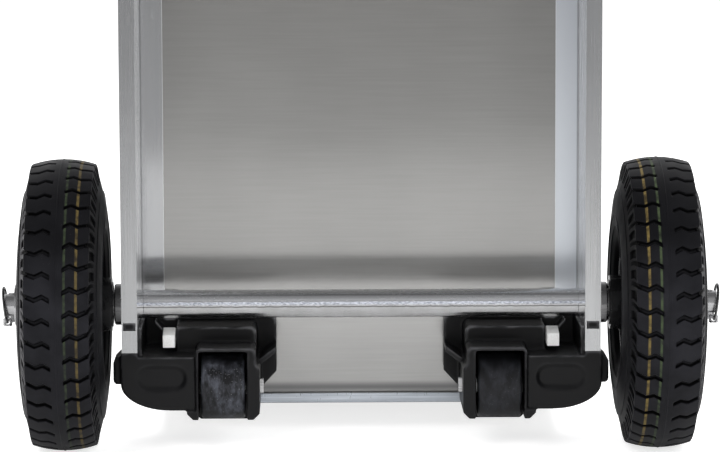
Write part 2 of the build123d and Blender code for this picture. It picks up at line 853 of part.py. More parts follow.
washer_faces = (
    (cavity_low, cavity_low + roller_washer_thickness),
    (cavity_high - roller_washer_thickness, cavity_high),
)
roller_washers = [
    tube_along_x(*faces, roller_washer_radius, roller_bolt_radius + running_gap, roller_y, roller_height)
    for faces in washer_faces
]
save(both_sides(Compound(roller_washers)), "roller_washers")

# Roller bracket: mounting plate, shelf, fork and shoe, each a block with its own roundings
with BuildPart() as plate_block:
    with BuildSketch(rear_plane(plate_rear)) as plate_outline:
        with BuildLine():
            Polyline(
                (plate_edge, plate_top),
                (plate_end, plate_top),
                (plate_end, plate_chamfer_foot),
                (plate_edge + plate_chamfer_run, plate_chamfer_foot),
                (plate_edge, plate_chamfer_top),
                close=True,
            )
        make_face()
        fillet(plate_outline.vertices().group_by(Axis.X)[0].sort_by(Axis.Y)[-1], plate_rounding)
    extrude(amount=-plate_thickness)

with BuildPart() as shelf_block:
    with BuildSketch(rear_plane(shelf_rear)) as shelf_outline:
        with BuildLine():
            Polyline(
                (shelf_edge, shelf_top),
                (shelf_end, shelf_top),
                (shelf_end, shoe_top),
                (shelf_edge, shoe_top),
                close=True,
            )
        make_face()
        fillet(shelf_outline.vertices().group_by(Axis.X)[0].sort_by(Axis.Y)[-1], shelf_rounding)
    extrude(amount=-(plate_rear - shelf_rear))
    fillet(shelf_block.edges().group_by(Axis.Y)[0].sort_by(Axis.Z)[-2:], shelf_edge_rounding)

with BuildPart() as fork_block:
    with BuildSketch(rear_plane(fork_rear)) as fork_outline:
        with BuildLine():
            Polyline(
                (shelf_edge, fork_top),
                (shoe_end, fork_top),
                (shoe_end, shoe_bottom),
                (fork_high, shoe_bottom),
                (fork_high, fork_bottom),
                (fork_low, fork_bottom),
                (fork_low, fork_waist_foot),
                (shelf_edge, fork_waist_top),
                close=True,
            )
        make_face()
        chamfer(fork_outline.vertices().group_by(Axis.Y)[0], fork_chamfer)
        fillet(fork_outline.vertices().group_by(Axis.Y)[-1], fork_rounding)
    extrude(amount=-(plate_rear - fork_rear))
    rear_edges = fork_block.edges().group_by(Axis.Y)[0].filter_by(GeomType.LINE)
    fillet(rear_edges.group_by(Axis.Z)[-1], fork_edge_rounding)

with BuildPart() as shoe_block:
    with BuildSketch(rear_plane(shoe_rear)):
        with BuildLine():
            curve_top = shoe_bottom + shoe_curve_height
            curve_foot = shoe_outer - shoe_curve_width
            Polyline(
                (curve_foot, shoe_bottom),
                (shoe_end, shoe_bottom),
                (shoe_end, shoe_top),
                (rail_inner, shoe_top),
                (rail_inner, rail_bottom),
                (shoe_outer, rail_bottom),
                (shoe_outer, curve_top),
            )
            EllipticalCenterArc((curve_foot, curve_top), shoe_curve_width, shoe_curve_height, start_angle=270)
        make_face()
    extrude(amount=-(plate_front - shoe_rear))
    for depth, slope in ((0.0, 0.0), (oval_depth, oval_slope)):
        with BuildSketch(rear_plane(shoe_rear + depth)):
            with Locations((shoe_outer - oval_inset, oval_level)):
                SlotOverall(oval_width - 2 * slope, oval_height - 2 * slope)
    loft(mode=Mode.SUBTRACT)

with BuildPart() as wing_block:
    with BuildSketch(rear_plane(axle_y)) as wing_outline:
        with Locations((rail_outer, wing_bottom)):
            Rectangle(wing_width, wing_top - wing_bottom, align=(Align.MIN, Align.MIN))
        chamfer(wing_outline.vertices().group_by(Axis.X)[-1].sort_by(Axis.Y)[-1], wing_chamfer)
        chamfer(wing_outline.vertices().group_by(Axis.X)[-1].sort_by(Axis.Y)[0], wing_foot_chamfer)
    extrude(amount=-wing_depth)

with BuildPart() as roller_bracket:
    add(plate_block.part)
    add(shelf_block.part)
    add(fork_block.part)
    add(shoe_block.part)
    add(wing_block.part)
    # A leaning web between the plate's inner edge and the fork
    with BuildSketch(rear_plane(axle_y + gusset_ahead)):
        with BuildLine():
            Polyline(
                (plate_edge, gusset_top),
                (plate_edge, gusset_top - gusset_thickness),
                (shelf_edge, gusset_top - gusset_rise - gusset_thickness),
                (shelf_edge, gusset_top - gusset_rise),
                close=True,
            )
        make_face()
    extrude(amount=-(plate_rear - axle_y - gusset_ahead))
    # A skirt in front of the roller, lower than the fork's cheeks
    cavity_front = roller_y + roller_radius + cavity_headroom
    with BuildSketch(rear_plane(cavity_front)) as skirt_outline:
        with Locations((roller_middle, skirt_bottom)):
            Rectangle(
                cavity_high - cavity_low + 2 * skirt_margin,
                fork_bottom + fork_chamfer - skirt_bottom,
                align=(Align.CENTER, Align.MIN),
            )
        chamfer(skirt_outline.vertices().group_by(Axis.Y)[0], skirt_chamfer)
    extrude(amount=-skirt_thickness)
    # A wall along the rail's inner side, and a leaning web between it and the hook's window
    with BuildSketch(side_plane(plate_end - side_wall_thickness)):
        with Locations((axle_y - side_wall_behind, shoe_top)):
            Rectangle(
                plate_rear - axle_y + side_wall_behind, plate_top - shoe_top, align=(Align.MIN, Align.MIN)
            )
    extrude(amount=side_wall_thickness)
    with BuildSketch(rear_plane(axle_y + web_ahead)):
        with BuildLine():
            Polyline(
                (web_edge, web_foot),
                (web_edge, web_foot + web_thickness),
                (web_edge + web_run, web_foot + web_rise + web_thickness),
                (web_edge + web_run, web_foot + web_rise),
                close=True,
            )
        make_face()
    extrude(amount=-(plate_rear - axle_y - web_ahead))
    # A tenon up inside the rail, with a latch in the rail's slot
    tenon_rear = rail_rear + rail_wall + moulded_gap
    with BuildSketch(Plane.XY.offset(rail_bottom)):
        with Locations((rail_inner + rail_width / 2, tenon_rear)):
            Rectangle(
                rail_width - 2 * (rail_wall + moulded_gap), tenon_depth, align=(Align.CENTER, Align.MIN)
            )
    extrude(amount=slot_level + slot_height / 2 + tenon_headroom - rail_bottom)
    with BuildSketch(rear_plane(rail_rear + moulded_gap)):
        with Locations((rail_inner + rail_width / 2, slot_level)):
            Rectangle(
                min(slot_width, rail_width - 2 * rail_wall) - 2 * moulded_gap, slot_height - 2 * moulded_gap
            )
    extrude(amount=-(tenon_rear - rail_rear))
    # The roller's room, open behind and below
    with BuildSketch(rear_plane(fork_rear)):
        with Locations(((cavity_low + cavity_high) / 2, roller_height + roller_radius + cavity_headroom)):
            Rectangle(
                cavity_high - cavity_low, 2 * roller_height, align=(Align.CENTER, Align.MAX)
            )
    extrude(amount=-(cavity_front - fork_rear), mode=Mode.SUBTRACT)
    # The bolt's hole and the nut's pocket, which opens forward
    with BuildSketch(bolt_plane):
        Circle(roller_bolt_radius + slip_gap)
    extrude(amount=fork_high - fork_low, mode=Mode.SUBTRACT)
    pocket = roller_nut_radius + nut_pocket_gap
    with BuildSketch(cross_plane(fork_high, roller_y, roller_height)):
        Circle(pocket)
        Rectangle(plate_front - roller_y, 2 * pocket, align=(Align.MIN, Align.CENTER))
    extrude(amount=roller_nut_height + roller_bolt_tail + nut_pocket_gap, mode=Mode.SUBTRACT)
    # The window for the hanger's hook, and a notch in the plate's top above it
    with BuildSketch(rear_plane(plate_rear)):
        with Locations((hook_edge - hook_room, hook_neck_bottom - moulded_gap)):
            Rectangle(
                hook_width + 2 * hook_room,
                hook_neck_top - hook_neck_bottom + 2 * moulded_gap,
                align=(Align.MIN, Align.MIN),
            )
        with Locations((notch_edge, plate_top)):
            Rectangle(notch_width, notch_depth, align=(Align.MIN, Align.MAX))
    extrude(amount=-plate_thickness, mode=Mode.SUBTRACT)
save_pair(roller_bracket.part, "roller_bracket")

# Hanger: a plate riveted to the rail's lip, with a humped hook through the bracket's window
with BuildPart() as bracket_hanger:
    with BuildSketch(rear_plane(lip_rear - hanger_thickness)):
        with Locations((hook_edge, hanger_plate_bottom)):
            Rectangle(
                plate_end - hook_edge,
                hanger_plate_top - hanger_plate_bottom,
                align=(Align.MIN, Align.MIN),
            )
        with Locations((hook_edge, hook_neck_bottom)):
            Rectangle(hook_width, hanger_plate_top - hook_neck_bottom, align=(Align.MIN, Align.MIN))
        with Locations((hanger_rivet_x, hanger_rivet_z)):
            Circle(rivet_radius + slip_gap, mode=Mode.SUBTRACT)
    extrude(amount=-hanger_thickness)
    with BuildSketch(side_plane(hook_edge)):
        with BuildLine():
            Polyline(
                (axle_y, hook_bottom),
                (axle_y, hook_shoulder),
                (shelf_rear, hook_crest),
                (plate_rear, hook_neck_top),
                (lip_rear, hook_neck_top),
                (lip_rear, hook_neck_bottom),
                (shelf_rear, hook_neck_bottom),
                (shelf_rear, hook_bottom),
                close=True,
            )
        make_face()
    extrude(amount=hook_width)
save_pair(bracket_hanger.part, "bracket_hanger")

# Loop handle, its grip and the clamps that hold its legs to the rails
with BuildPart() as handle_tube:
    with BuildLine() as handle_path:
        FilletPolyline(
            (handle_x, handle_y, rail_top - handle_leg_length),
            (handle_x, handle_y, rail_top + handle_knee_above),
            (handle_x, handle_y - handle_back, handle_top),
            (-handle_x, handle_y - handle_back, handle_top),
            (-handle_x, handle_y, rail_top + handle_knee_above),
            (-handle_x, handle_y, rail_top - handle_leg_length),
            radius=[
                handle_knee_radius,
                handle_corner_radius,
                handle_corner_radius,
                handle_knee_radius,
            ],
        )
    with BuildSketch(Plane.XY.offset(rail_top - handle_leg_length)):
        with Locations((handle_x, handle_y)):
            Circle(handle_radius)
            Circle(handle_radius - handle_wall, mode=Mode.SUBTRACT)
    sweep(path=handle_path.wires()[0])
save(handle_tube.part, "handle_tube")

with BuildPart() as handle_grip:
    add(
        tube_along_x(
            -grip_length / 2,
            grip_length / 2,
            handle_radius + grip_wall,
            handle_radius + slip_gap,
            handle_y - handle_back,
            handle_top,
        )
    )
    rims = handle_grip.edges().filter_by(GeomType.CIRCLE).group_by(SortBy.RADIUS)[-1]
    fillet(rims, grip_rounding)
save(handle_grip.part, "handle_grip")

with BuildPart() as handle_clamps:
    for level in clamp_levels:
        with BuildSketch(Plane.XY.offset(level - clamp_height / 2)) as clamp_outline:
            with Locations((rail_inner, handle_y)):
                Rectangle(
                    clamp_seat + handle_radius + clamp_wall,
                    2 * clamp_half_depth,
                    align=(Align.MAX, Align.CENTER),
                )
            fillet(clamp_outline.vertices().group_by(Axis.X)[0], clamp_rounding)
            with Locations((handle_x, handle_y)):
                Circle(handle_radius + slip_gap, mode=Mode.SUBTRACT)
        extrude(amount=clamp_height)
        with BuildSketch(cross_plane(rail_inner, handle_y, level)):
            with Locations((clamp_bolt_offset, 0), (-clamp_bolt_offset, 0)):
                Circle(clamp_bolt_radius + slip_gap)
        extrude(amount=-clamp_bolt_bite, mode=Mode.SUBTRACT)
save(both_sides(handle_clamps.part), "handle_clamps")

handle_bolts = [
    domed_fasteners(
        cross_plane(rail_outer, handle_y, level),
        [(clamp_bolt_offset, 0), (-clamp_bolt_offset, 0)],
        clamp_bolt_head_radius,
        clamp_bolt_head_height,
        clamp_bolt_radius,
        rail_width + clamp_bolt_bite,
    )
    for level in clamp_levels
]
save(both_sides(Compound(handle_bolts)), "handle_bolts")
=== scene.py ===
"""Looks of an aluminium hand truck with pneumatic wheels, seen from behind and slightly above.

Metres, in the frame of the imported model: +X right seen from behind, +Y over the toe plate, +Z up.
Outlines that are turned about an axle are in millimetres.
"""

import json
from math import cos, pi, radians, sin

import bpy
import numpy as np
from mathutils import Matrix, Vector


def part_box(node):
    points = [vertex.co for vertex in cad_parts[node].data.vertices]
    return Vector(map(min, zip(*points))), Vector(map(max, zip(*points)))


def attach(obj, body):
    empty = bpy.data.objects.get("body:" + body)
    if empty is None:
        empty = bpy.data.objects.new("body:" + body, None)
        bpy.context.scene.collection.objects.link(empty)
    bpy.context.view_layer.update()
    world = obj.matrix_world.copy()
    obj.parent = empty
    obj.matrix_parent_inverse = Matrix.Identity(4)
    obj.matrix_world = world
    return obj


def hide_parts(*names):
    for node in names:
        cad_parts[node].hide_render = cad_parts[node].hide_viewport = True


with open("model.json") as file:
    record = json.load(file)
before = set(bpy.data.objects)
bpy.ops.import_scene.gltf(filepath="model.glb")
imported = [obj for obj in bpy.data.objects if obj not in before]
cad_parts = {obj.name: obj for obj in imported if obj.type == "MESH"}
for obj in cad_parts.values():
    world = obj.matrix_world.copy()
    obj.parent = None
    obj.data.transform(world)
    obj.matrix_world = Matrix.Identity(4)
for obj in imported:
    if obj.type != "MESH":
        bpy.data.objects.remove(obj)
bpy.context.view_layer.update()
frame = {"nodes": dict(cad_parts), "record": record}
nodes = frame["nodes"]
scene = bpy.context.scene
scene.view_settings.view_transform = "Standard"

MM = 0.001
SIDES = (("right", 1), ("left", -1))
WHITE = (1.0, 1.0, 1.0, 1.0)


def middle(node):
    """The middle of a CAD node's box, in metres."""
    low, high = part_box(node)
    return (Vector(low) + Vector(high)) / 2


def half_size(node):
    """Half the size of a CAD node's box, in metres."""
    low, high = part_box(node)
    return (Vector(high) - Vector(low)) / 2


# Node trees


class Graph:
    """A node tree, with short calls for the usual nodes."""

    def __init__(self, tree):
        self.tree = tree

    def add(self, kind, inputs=None, **settings):
        """A new node with some of its settings and inputs."""
        node = self.tree.nodes.new(kind)
        for key, value in settings.items():
            setattr(node, key, value)
        for key, value in (inputs or {}).items():
            self.put(node.inputs[key], value)
        return node

    def put(self, socket, value):
        """Links an input to another node's output, or sets it to a value."""
        if isinstance(value, bpy.types.NodeSocket):
            self.tree.links.new(value, socket)
        else:
            socket.default_value = value

    def math(self, operation, first, second=0.0, third=0.0):
        node = self.add("ShaderNodeMath", {0: first, 1: second, 2: third}, operation=operation)
        return node.outputs["Value"]

    def plus(self, first, second):
        return self.math("ADD", first, second)

    def minus(self, first, second):
        return self.math("SUBTRACT", first, second)

    def times(self, product, *factors):
        for factor in factors:
            product = self.math("MULTIPLY", product, factor)
        return product

    def span(self, value, low, high, to_low=0.0, to_high=1.0):
        """A value's range mapped to another, clamped and smooth at its ends."""
        inputs = {"Value": value, "From Min": low, "From Max": high, "To Min": to_low, "To Max": to_high}
        node = self.add("ShaderNodeMapRange", inputs, interpolation_type="SMOOTHSTEP")
        return node.outputs["Result"]

    def band(self, value, centre, inner, outer, strength=1.0):
        """A strength up to an inner distance from a centre, that fades to nothing at an outer one."""
        distance = self.math("ABSOLUTE", self.minus(value, centre))
        return self.span(distance, inner, outer, strength, 0.0)


class Finish(Graph):
    """A node material around one Principled shader."""

    def __init__(self, name, color, metallic=0.0, roughness=0.5, specular=0.5):
        self.mat = bpy.data.materials.new(name)
        self.mat.use_nodes = True
        super().__init__(self.mat.node_tree)
        self.shader = self.tree.nodes["Principled BSDF"]
        self.shader.inputs["Base Color"].default_value = (*color, 1.0)
        self.shader.inputs["Metallic"].default_value = metallic
        self.shader.inputs["Roughness"].default_value = roughness
        self.shader.inputs["Specular IOR Level"].default_value = specular
        self.mat.diffuse_color = (*color, 1.0)
        self.mat.roughness = roughness
        self.mat.metallic = metallic
        self.place = self.add("ShaderNodeTexCoord").outputs["Object"]
        self.normal = None

    def noise(self, scale, detail=3.0, stretch=None, rough=0.55):
        """Noise in object coordinates, scaled per axis where a stretch is given."""
        place = self.place
        if stretch:
            place = self.add("ShaderNodeMapping", {"Vector": place, "Scale": stretch}).outputs["Vector"]
        inputs = {"Vector": place, "Scale": scale, "Detail": detail, "Roughness": rough}
        return self.add("ShaderNodeTexNoise", inputs).outputs["Fac"]

    def cells(self, scale):
        """Distance from scattered points in object coordinates."""
        return self.add("ShaderNodeTexVoronoi", {"Vector": self.place, "Scale": scale}).outputs["Distance"]

    def mix(self, factor, first, second):
        """A colour between two colours."""
        node = self.add("ShaderNodeMix", data_type="RGBA")
        self.put(node.inputs["Factor"], factor)
        sockets = [socket for socket in node.inputs if socket.type == "RGBA"]
        for socket, value in zip(sockets, (first, second)):
            self.put(socket, value if isinstance(value, bpy.types.NodeSocket) else (*value, 1.0))
        return [socket for socket in node.outputs if socket.type == "RGBA"][0]

    def blend(self, factor, first, second):
        """A number between two numbers."""
        return self.add("ShaderNodeMix", {0: factor, 2: first, 3: second}, data_type="FLOAT").outputs[0]

    def axis(self, name):
        """A coordinate of the surface's place."""
        return self.add("ShaderNodeSeparateXYZ", {"Vector": self.place}).outputs[name]

    def facing(self, name):
        """A component of the surface's own direction."""
        direction = self.add("ShaderNodeTexCoord").outputs["Normal"]
        return self.add("ShaderNodeSeparateXYZ", {"Vector": direction}).outputs[name]

    def stored(self, name):
        """A number kept on the mesh."""
        return self.add("ShaderNodeAttribute", attribute_name=name).outputs["Fac"]

    def color(self, value):
        self.put(self.shader.inputs["Base Color"], value)

    def metallic(self, value):
        self.put(self.shader.inputs["Metallic"], value)

    def roughness(self, value):
        self.put(self.shader.inputs["Roughness"], value)

    def bump(self, height, distance, strength=1.0):
        """Relief on top of the relief so far."""
        node = self.add("ShaderNodeBump", {"Strength": strength, "Distance": distance, "Height": height})
        if self.normal is not None:
            self.put(node.inputs["Normal"], self.normal)
        self.normal = node.outputs["Normal"]
        self.put(self.shader.inputs["Normal"], self.normal)


# Materials

# Across the truck's middle, where the left half's looks turn into the right half's
HALVES = (-0.01, 0.01)
# Rise of a leaning face over its height
LEAN = 0.064
# Heights over the floor: the sheet's bend, the rails' shelter over the brackets, above which the plastic is
# painted as in shade, and none
BEND_HEIGHT = 41 * MM
BRACKET_SHELTER = 102 * MM
NO_SHELTER = 9.0
# Weld seam, from the axle's middle: its rise, its wander to each side, the painted shadow below and a painted
# dark reflection line above
SEAM_RISE = 1.8 * MM
SEAM_WANDER = 0.9 * MM
SEAM_SHADOW = 3.1 * MM
UPPER_LINE = 8.8 * MM
# Painted tread lines: place across the tread and half width in millimetres, and colour
PAINT_LINES = ((7.2, 1.1, (0.055, 0.076, 0.038)), (17.4, 1.2, (0.185, 0.135, 0.045)))


def lean(f):
    """Tilts an upright face a little downward, by its rise over a metre of height."""
    f.bump(f.axis("Z"), LEAN)


def sheet_finish():
    """Rolled aluminium sheet: faint level lines and clouds, a painted reflection lighter near the floor, and
    a painted dark reflection along the bend at its foot.
    """
    f = Finish("rolled sheet", (0.42, 0.417, 0.405), metallic=0.68, roughness=0.19, specular=0.2)
    height = f.axis("Z")
    lines = f.noise(60.0, 3.0, (0.25, 1.0, 9.0))
    tone = f.plus(f.times(lines, 0.36), f.times(f.noise(5.0, 3.0), 0.64))
    # Painted reflection: the sheet lighter near the floor and darker higher up
    height_reflection = f.plus(f.span(height, 0.10, 0.18, 0.0, 0.62), f.span(height, 0.2, 0.42, 0.0, 0.38))
    dim = f.mix(height_reflection, (0.445, 0.442, 0.433), (0.262, 0.258, 0.249))
    bright = f.mix(height_reflection, (0.51, 0.507, 0.497), (0.30, 0.296, 0.286))
    sheet_tone = f.mix(f.span(tone, 0.3, 0.7), dim, bright)
    # Painted dark reflection in a band along the bend at the sheet's foot
    below = f.span(height, BEND_HEIGHT - 6 * MM, BEND_HEIGHT)
    above = f.span(height, BEND_HEIGHT, BEND_HEIGHT + 7.5 * MM, 1.0, 0.0)
    f.color(f.mix(f.times(below, above, 0.8), sheet_tone, (0.12, 0.121, 0.125)))
    f.roughness(f.span(lines, 0.25, 0.75, 0.14, 0.18))
    lean(f)
    f.bump(lines, 0.01 * MM, 0.35)
    f.bump(f.noise(9.0, 2.0), 0.6 * MM, 0.25)
    return f.mat


def rail_finish():
    """Extruded aluminium: lines along the rail, bright lips beside the sheet, nicks on the faces, and painted
    light on faces, sides and lips.
    """
    f = Finish("extruded aluminium", (0.52, 0.525, 0.53), metallic=0.85, roughness=0.3, specular=0.2)
    lip_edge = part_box("right_rail")[0][0]
    lip_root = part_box("back_panel")[1][0]
    height = f.axis("Z")
    across = f.axis("X")
    apart = f.math("ABSOLUTE", across)
    sideways = f.facing("X")
    right = f.span(across, *HALVES)
    left = f.span(across, *HALVES, 1.0, 0.0)
    lines = f.noise(90.0, 4.0, (12.0, 12.0, 0.12))
    clouds = f.noise(7.0, 4.0, (1.0, 1.0, 0.5))

    # Painted light on the side faces: paler than the rest, the inner ones more, the left inner one near white
    side = f.span(f.math("ABSOLUTE", sideways), 0.6, 0.8)
    inside_left = f.times(f.span(sideways, 0.6, 0.8), left)
    inside_right = f.times(f.span(sideways, -0.8, -0.6, 1.0, 0.0), right)
    lip = f.span(apart, lip_root - 0.2 * MM, lip_root, 1.0, 0.0)
    right_lip = f.times(lip, right)
    # Painted shade in a thin line at the lip's root, and a painted highlight along the lip's edge
    crease_shade = f.band(apart, lip_root - 0.6 * MM, 0.3 * MM, 0.8 * MM, 0.6)
    rim = f.band(apart, lip_edge, 0.3 * MM, 0.8 * MM, 0.7)

    # Painted reflection: the faces lighter near the floor and darker higher up
    worn = f.span(height, 0.04, 0.42)
    dim = f.mix(worn, (0.47, 0.475, 0.48), (0.325, 0.329, 0.334))
    bright = f.mix(worn, (0.54, 0.545, 0.55), (0.375, 0.379, 0.384))
    face = f.mix(f.span(clouds, 0.3, 0.7), dim, bright)
    web = f.mix(inside_right, (0.60, 0.61, 0.625), (0.72, 0.73, 0.745))
    face = f.mix(side, face, f.mix(inside_left, web, (0.98, 0.985, 1.0)))
    face = f.mix(lip, face, (0.435, 0.44, 0.447))
    # The right lip is duller and paler, and is painted lighter low as a reflection
    dull = f.mix(f.span(height, 0.25, 0.45), (0.65, 0.68, 0.72), (0.48, 0.50, 0.535))
    face = f.mix(right_lip, face, dull)
    face = f.mix(rim, face, (0.78, 0.79, 0.80))
    f.color(f.mix(crease_shade, face, (0.17, 0.172, 0.177)))

    matt = f.math("MAXIMUM", f.math("MAXIMUM", side, right_lip), rim)
    f.metallic(f.span(matt, 0.0, 1.0, 0.85, 0.55))
    grain = f.span(lines, 0.25, 0.75, 0.19, 0.29)
    polish = f.plus(f.times(right_lip, 0.13), f.span(lines, 0.25, 0.75, 0.08, 0.14))
    f.roughness(f.blend(lip, grain, polish))
    nicks = f.span(f.noise(55.0, 6.0, (1.0, 1.0, 0.4), 0.7), 0.66, 0.74)
    lean(f)
    f.bump(lines, 0.02 * MM, 0.28)
    f.bump(nicks, 0.2 * MM, 0.25)
    return f.mat


def tube_finish():
    """Drawn aluminium tube with a satin face."""
    f = Finish("satin tube", (0.55, 0.555, 0.56), metallic=1.0, roughness=0.28)
    grain = f.noise(260.0, 3.0)
    clouds = f.noise(14.0, 3.0)
    f.color(f.mix(f.span(clouds, 0.3, 0.7), (0.50, 0.505, 0.51), (0.58, 0.585, 0.59)))
    f.roughness(f.span(grain, 0.3, 0.7, 0.24, 0.31))
    f.bump(grain, 0.01 * MM, 0.3)
    return f.mat


def plate_finish():
    """Toe plate: rolled plate scuffed by loads, with scratches from front to back, and a streaked heel
    painted pale and bluish as a reflection.
    """
    f = Finish("scuffed plate", (0.46, 0.46, 0.455), metallic=1.0, roughness=0.32)
    clouds = f.noise(8.0, 5.0)
    scratches = f.span(f.noise(70.0, 5.0, (6.0, 0.25, 1.0), 0.65), 0.56, 0.7)
    scuffs = f.plus(f.span(clouds, 0.3, 0.75, 0.0, 0.7), f.times(scratches, 0.3))
    top = f.mix(scuffs, (0.40, 0.40, 0.395), (0.55, 0.55, 0.545))
    # Painted reflection: the heel's rear face pale and bluish, with streaks
    heel = f.span(f.facing("Y"), -0.8, -0.5, 1.0, 0.0)
    streaks = f.span(f.noise(60.0, 4.0, (0.12, 1.0, 5.0)), 0.35, 0.65)
    f.color(f.mix(heel, top, f.mix(streaks, (0.46, 0.50, 0.55), (0.70, 0.74, 0.80))))
    f.metallic(f.span(heel, 0.0, 1.0, 1.0, 0.6))
    f.roughness(f.minus(f.span(clouds, 0.3, 0.7, 0.30, 0.42), f.times(scratches, 0.12)))
    f.bump(scratches, 0.08 * MM, 0.5)
    f.bump(clouds, 0.5 * MM, 0.2)
    return f.mat


def zinc_finish(name, tone, seam=False, metallic=1.0):
    """Zinc plated steel: cloudy grey satin, drawn lengthwise, with a weld seam and its painted light where
    asked.
    """
    f = Finish(name, (tone, tone, tone * 1.01), metallic=metallic, roughness=0.25)
    clouds = f.noise(40.0, 5.0)
    drawn = f.noise(500.0, 3.0, (0.06, 1.0, 1.0))
    plain = f.mix(f.span(clouds, 0.3, 0.7), (tone * 0.9,) * 3, (tone * 1.07, tone * 1.07, tone * 1.09))
    f.roughness(f.span(drawn, 0.3, 0.7, 0.19, 0.29))
    f.bump(drawn, 0.02 * MM, 0.4)
    f.color(weld_seam(f, plain, (tone * 0.35,) * 3) if seam else plain)
    return f.mat


def weld_seam(f, plain, dark):
    """The tube's colour with painted light along a weld seam at its rear: a painted highlight of pale grains
    on the seam, a painted shadow line below it, a painted dark reflection line above it, and a lighter
    painted reflection above the seam.
    """
    tube = middle("axle_tube")
    level = f.minus(f.axis("Z"), tube.z)
    behind = f.span(f.axis("Y"), tube.y, tube.y + MM, 1.0, 0.0)
    wander = f.math("MULTIPLY_ADD", f.noise(140.0, 4.0, (1.0, 0.0, 0.0)), 2 * SEAM_WANDER, -SEAM_WANDER)
    off = f.minus(f.minus(level, SEAM_RISE), wander)
    # Painted highlight on the seam, painted shadow under it, painted dark reflection line over it
    ridge = f.times(f.band(off, 0.0, 0.6 * MM, 2.1 * MM, 0.9), behind)
    under = f.times(f.band(off, -SEAM_SHADOW, 0.3 * MM, 0.9 * MM), behind)
    over = f.times(f.band(level, UPPER_LINE, 0.3 * MM, 1.2 * MM, 0.5), behind)
    grains = f.span(f.noise(800.0, 3.0, (0.45, 1.0, 1.0), 0.6), 0.36, 0.62)
    upper_half = f.span(off, 1.0 * MM, 3.0 * MM)
    shade = f.mix(upper_half, plain, (0.80, 0.81, 0.83))
    shade = f.mix(f.math("MAXIMUM", under, over), shade, dark)
    f.metallic(f.span(ridge, 0.0, 0.9, 1.0, 0.25))
    f.bump(f.times(ridge, grains), 0.3 * MM, 0.6)
    return f.mix(ridge, shade, f.mix(grains, (0.25, 0.27, 0.32), (0.70, 0.73, 0.81)))


def washer_finish():
    """Dark washers, with a painted highlight that makes the one at the inner end of the right roller bright.
    """
    f = Finish("roller washer", (0.02, 0.02, 0.021), metallic=0.3, roughness=0.4)
    across = f.axis("X")
    roller = middle("right_roller_tread").x
    # Painted highlight: the inner washer of the right roller near white
    inboard_glint = f.times(f.span(across, *HALVES), f.span(across, roller - 5 * MM, roller, 1.0, 0.0))
    stains = f.span(f.noise(180.0, 4.0), 0.3, 0.7)
    f.color(f.mix(inboard_glint, f.mix(stains, (0.016, 0.016, 0.017), (0.03, 0.03, 0.032)), (0.82, 0.82, 0.83)))
    f.roughness(f.span(stains, 0.0, 1.0, 0.3, 0.5))
    return f.mat


def bright_zinc_finish():
    """Bright cast zinc, pale and finely speckled."""
    f = Finish("bright zinc", (0.8, 0.8, 0.785), metallic=0.0, roughness=0.5)
    specks = f.span(f.cells(1500.0), 0.15, 0.45)
    fine = f.noise(600.0, 2.0)
    f.color(f.mix(specks, (0.68, 0.68, 0.665), (0.87, 0.87, 0.86)))
    f.roughness(f.span(fine, 0.3, 0.7, 0.42, 0.6))
    f.bump(specks, 0.08 * MM, 0.6)
    return f.mat


def plastic_finish(name, dark, pale, roughness, edge_highlight, shelter=NO_SHELTER):
    """Black moulded plastic: fine grain, paler rub patches, dust on upper faces that also stands in for the
    light on them, and painted highlights on outer edges.

    Above the shelter's height the plastic is painted as in shade: no dust or painted light on its faces, less
    shine, and the painted edge highlights are palest.
    """
    f = Finish(name, dark, roughness=roughness, specular=0.22)
    height = f.axis("Z")
    upward = f.facing("Z")
    top = f.span(upward, 0.3, 0.9)
    # Painted shade above the shelter's height; below it, dust on upper faces that is also painted light
    shaded_zone = f.span(height, shelter - 4 * MM, shelter)
    dust = f.times(top, f.span(f.noise(45.0, 6.0), 0.3, 0.7, 0.4, 1.0), f.minus(1.0, shaded_zone))
    rub = f.span(f.noise(24.0, 5.0), 0.45, 0.75)
    low = f.span(height, shelter - 30 * MM, shelter - 10 * MM, 1.0, 0.0)
    shade = f.plus(f.times(rub, 0.35), f.times(low, 0.35))
    base = f.mix(f.times(dust, 0.8), f.mix(shade, dark, pale), (0.02, 0.02, 0.0212))
    # Painted highlights on outer edges, strongest on upward ones and palest above the shelter's height
    lit = f.span(upward, -0.1, 0.4, 0.3, 1.0)
    raised = f.span(height, shelter - 30 * MM, shelter - 26 * MM, 0.2, 1.0)
    highlight_tone = f.mix(shaded_zone, (0.058, 0.058, 0.062), (0.15, 0.15, 0.158))
    f.color(f.mix(f.times(f.stored("edge"), lit, raised, edge_highlight), base, highlight_tone))
    f.roughness(f.plus(f.span(rub, 0.0, 1.0, roughness, roughness + 0.12), f.times(dust, 0.2)))
    shine = f.span(f.times(top, shaded_zone), 0.0, 1.0, 0.24, 0.05)
    f.put(f.shader.inputs["Specular IOR Level"], shine)
    f.bump(f.cells(1100.0), 0.06 * MM, 0.5)
    f.bump(f.noise(260.0, 3.0), 0.08 * MM, 0.35)
    return f.mat


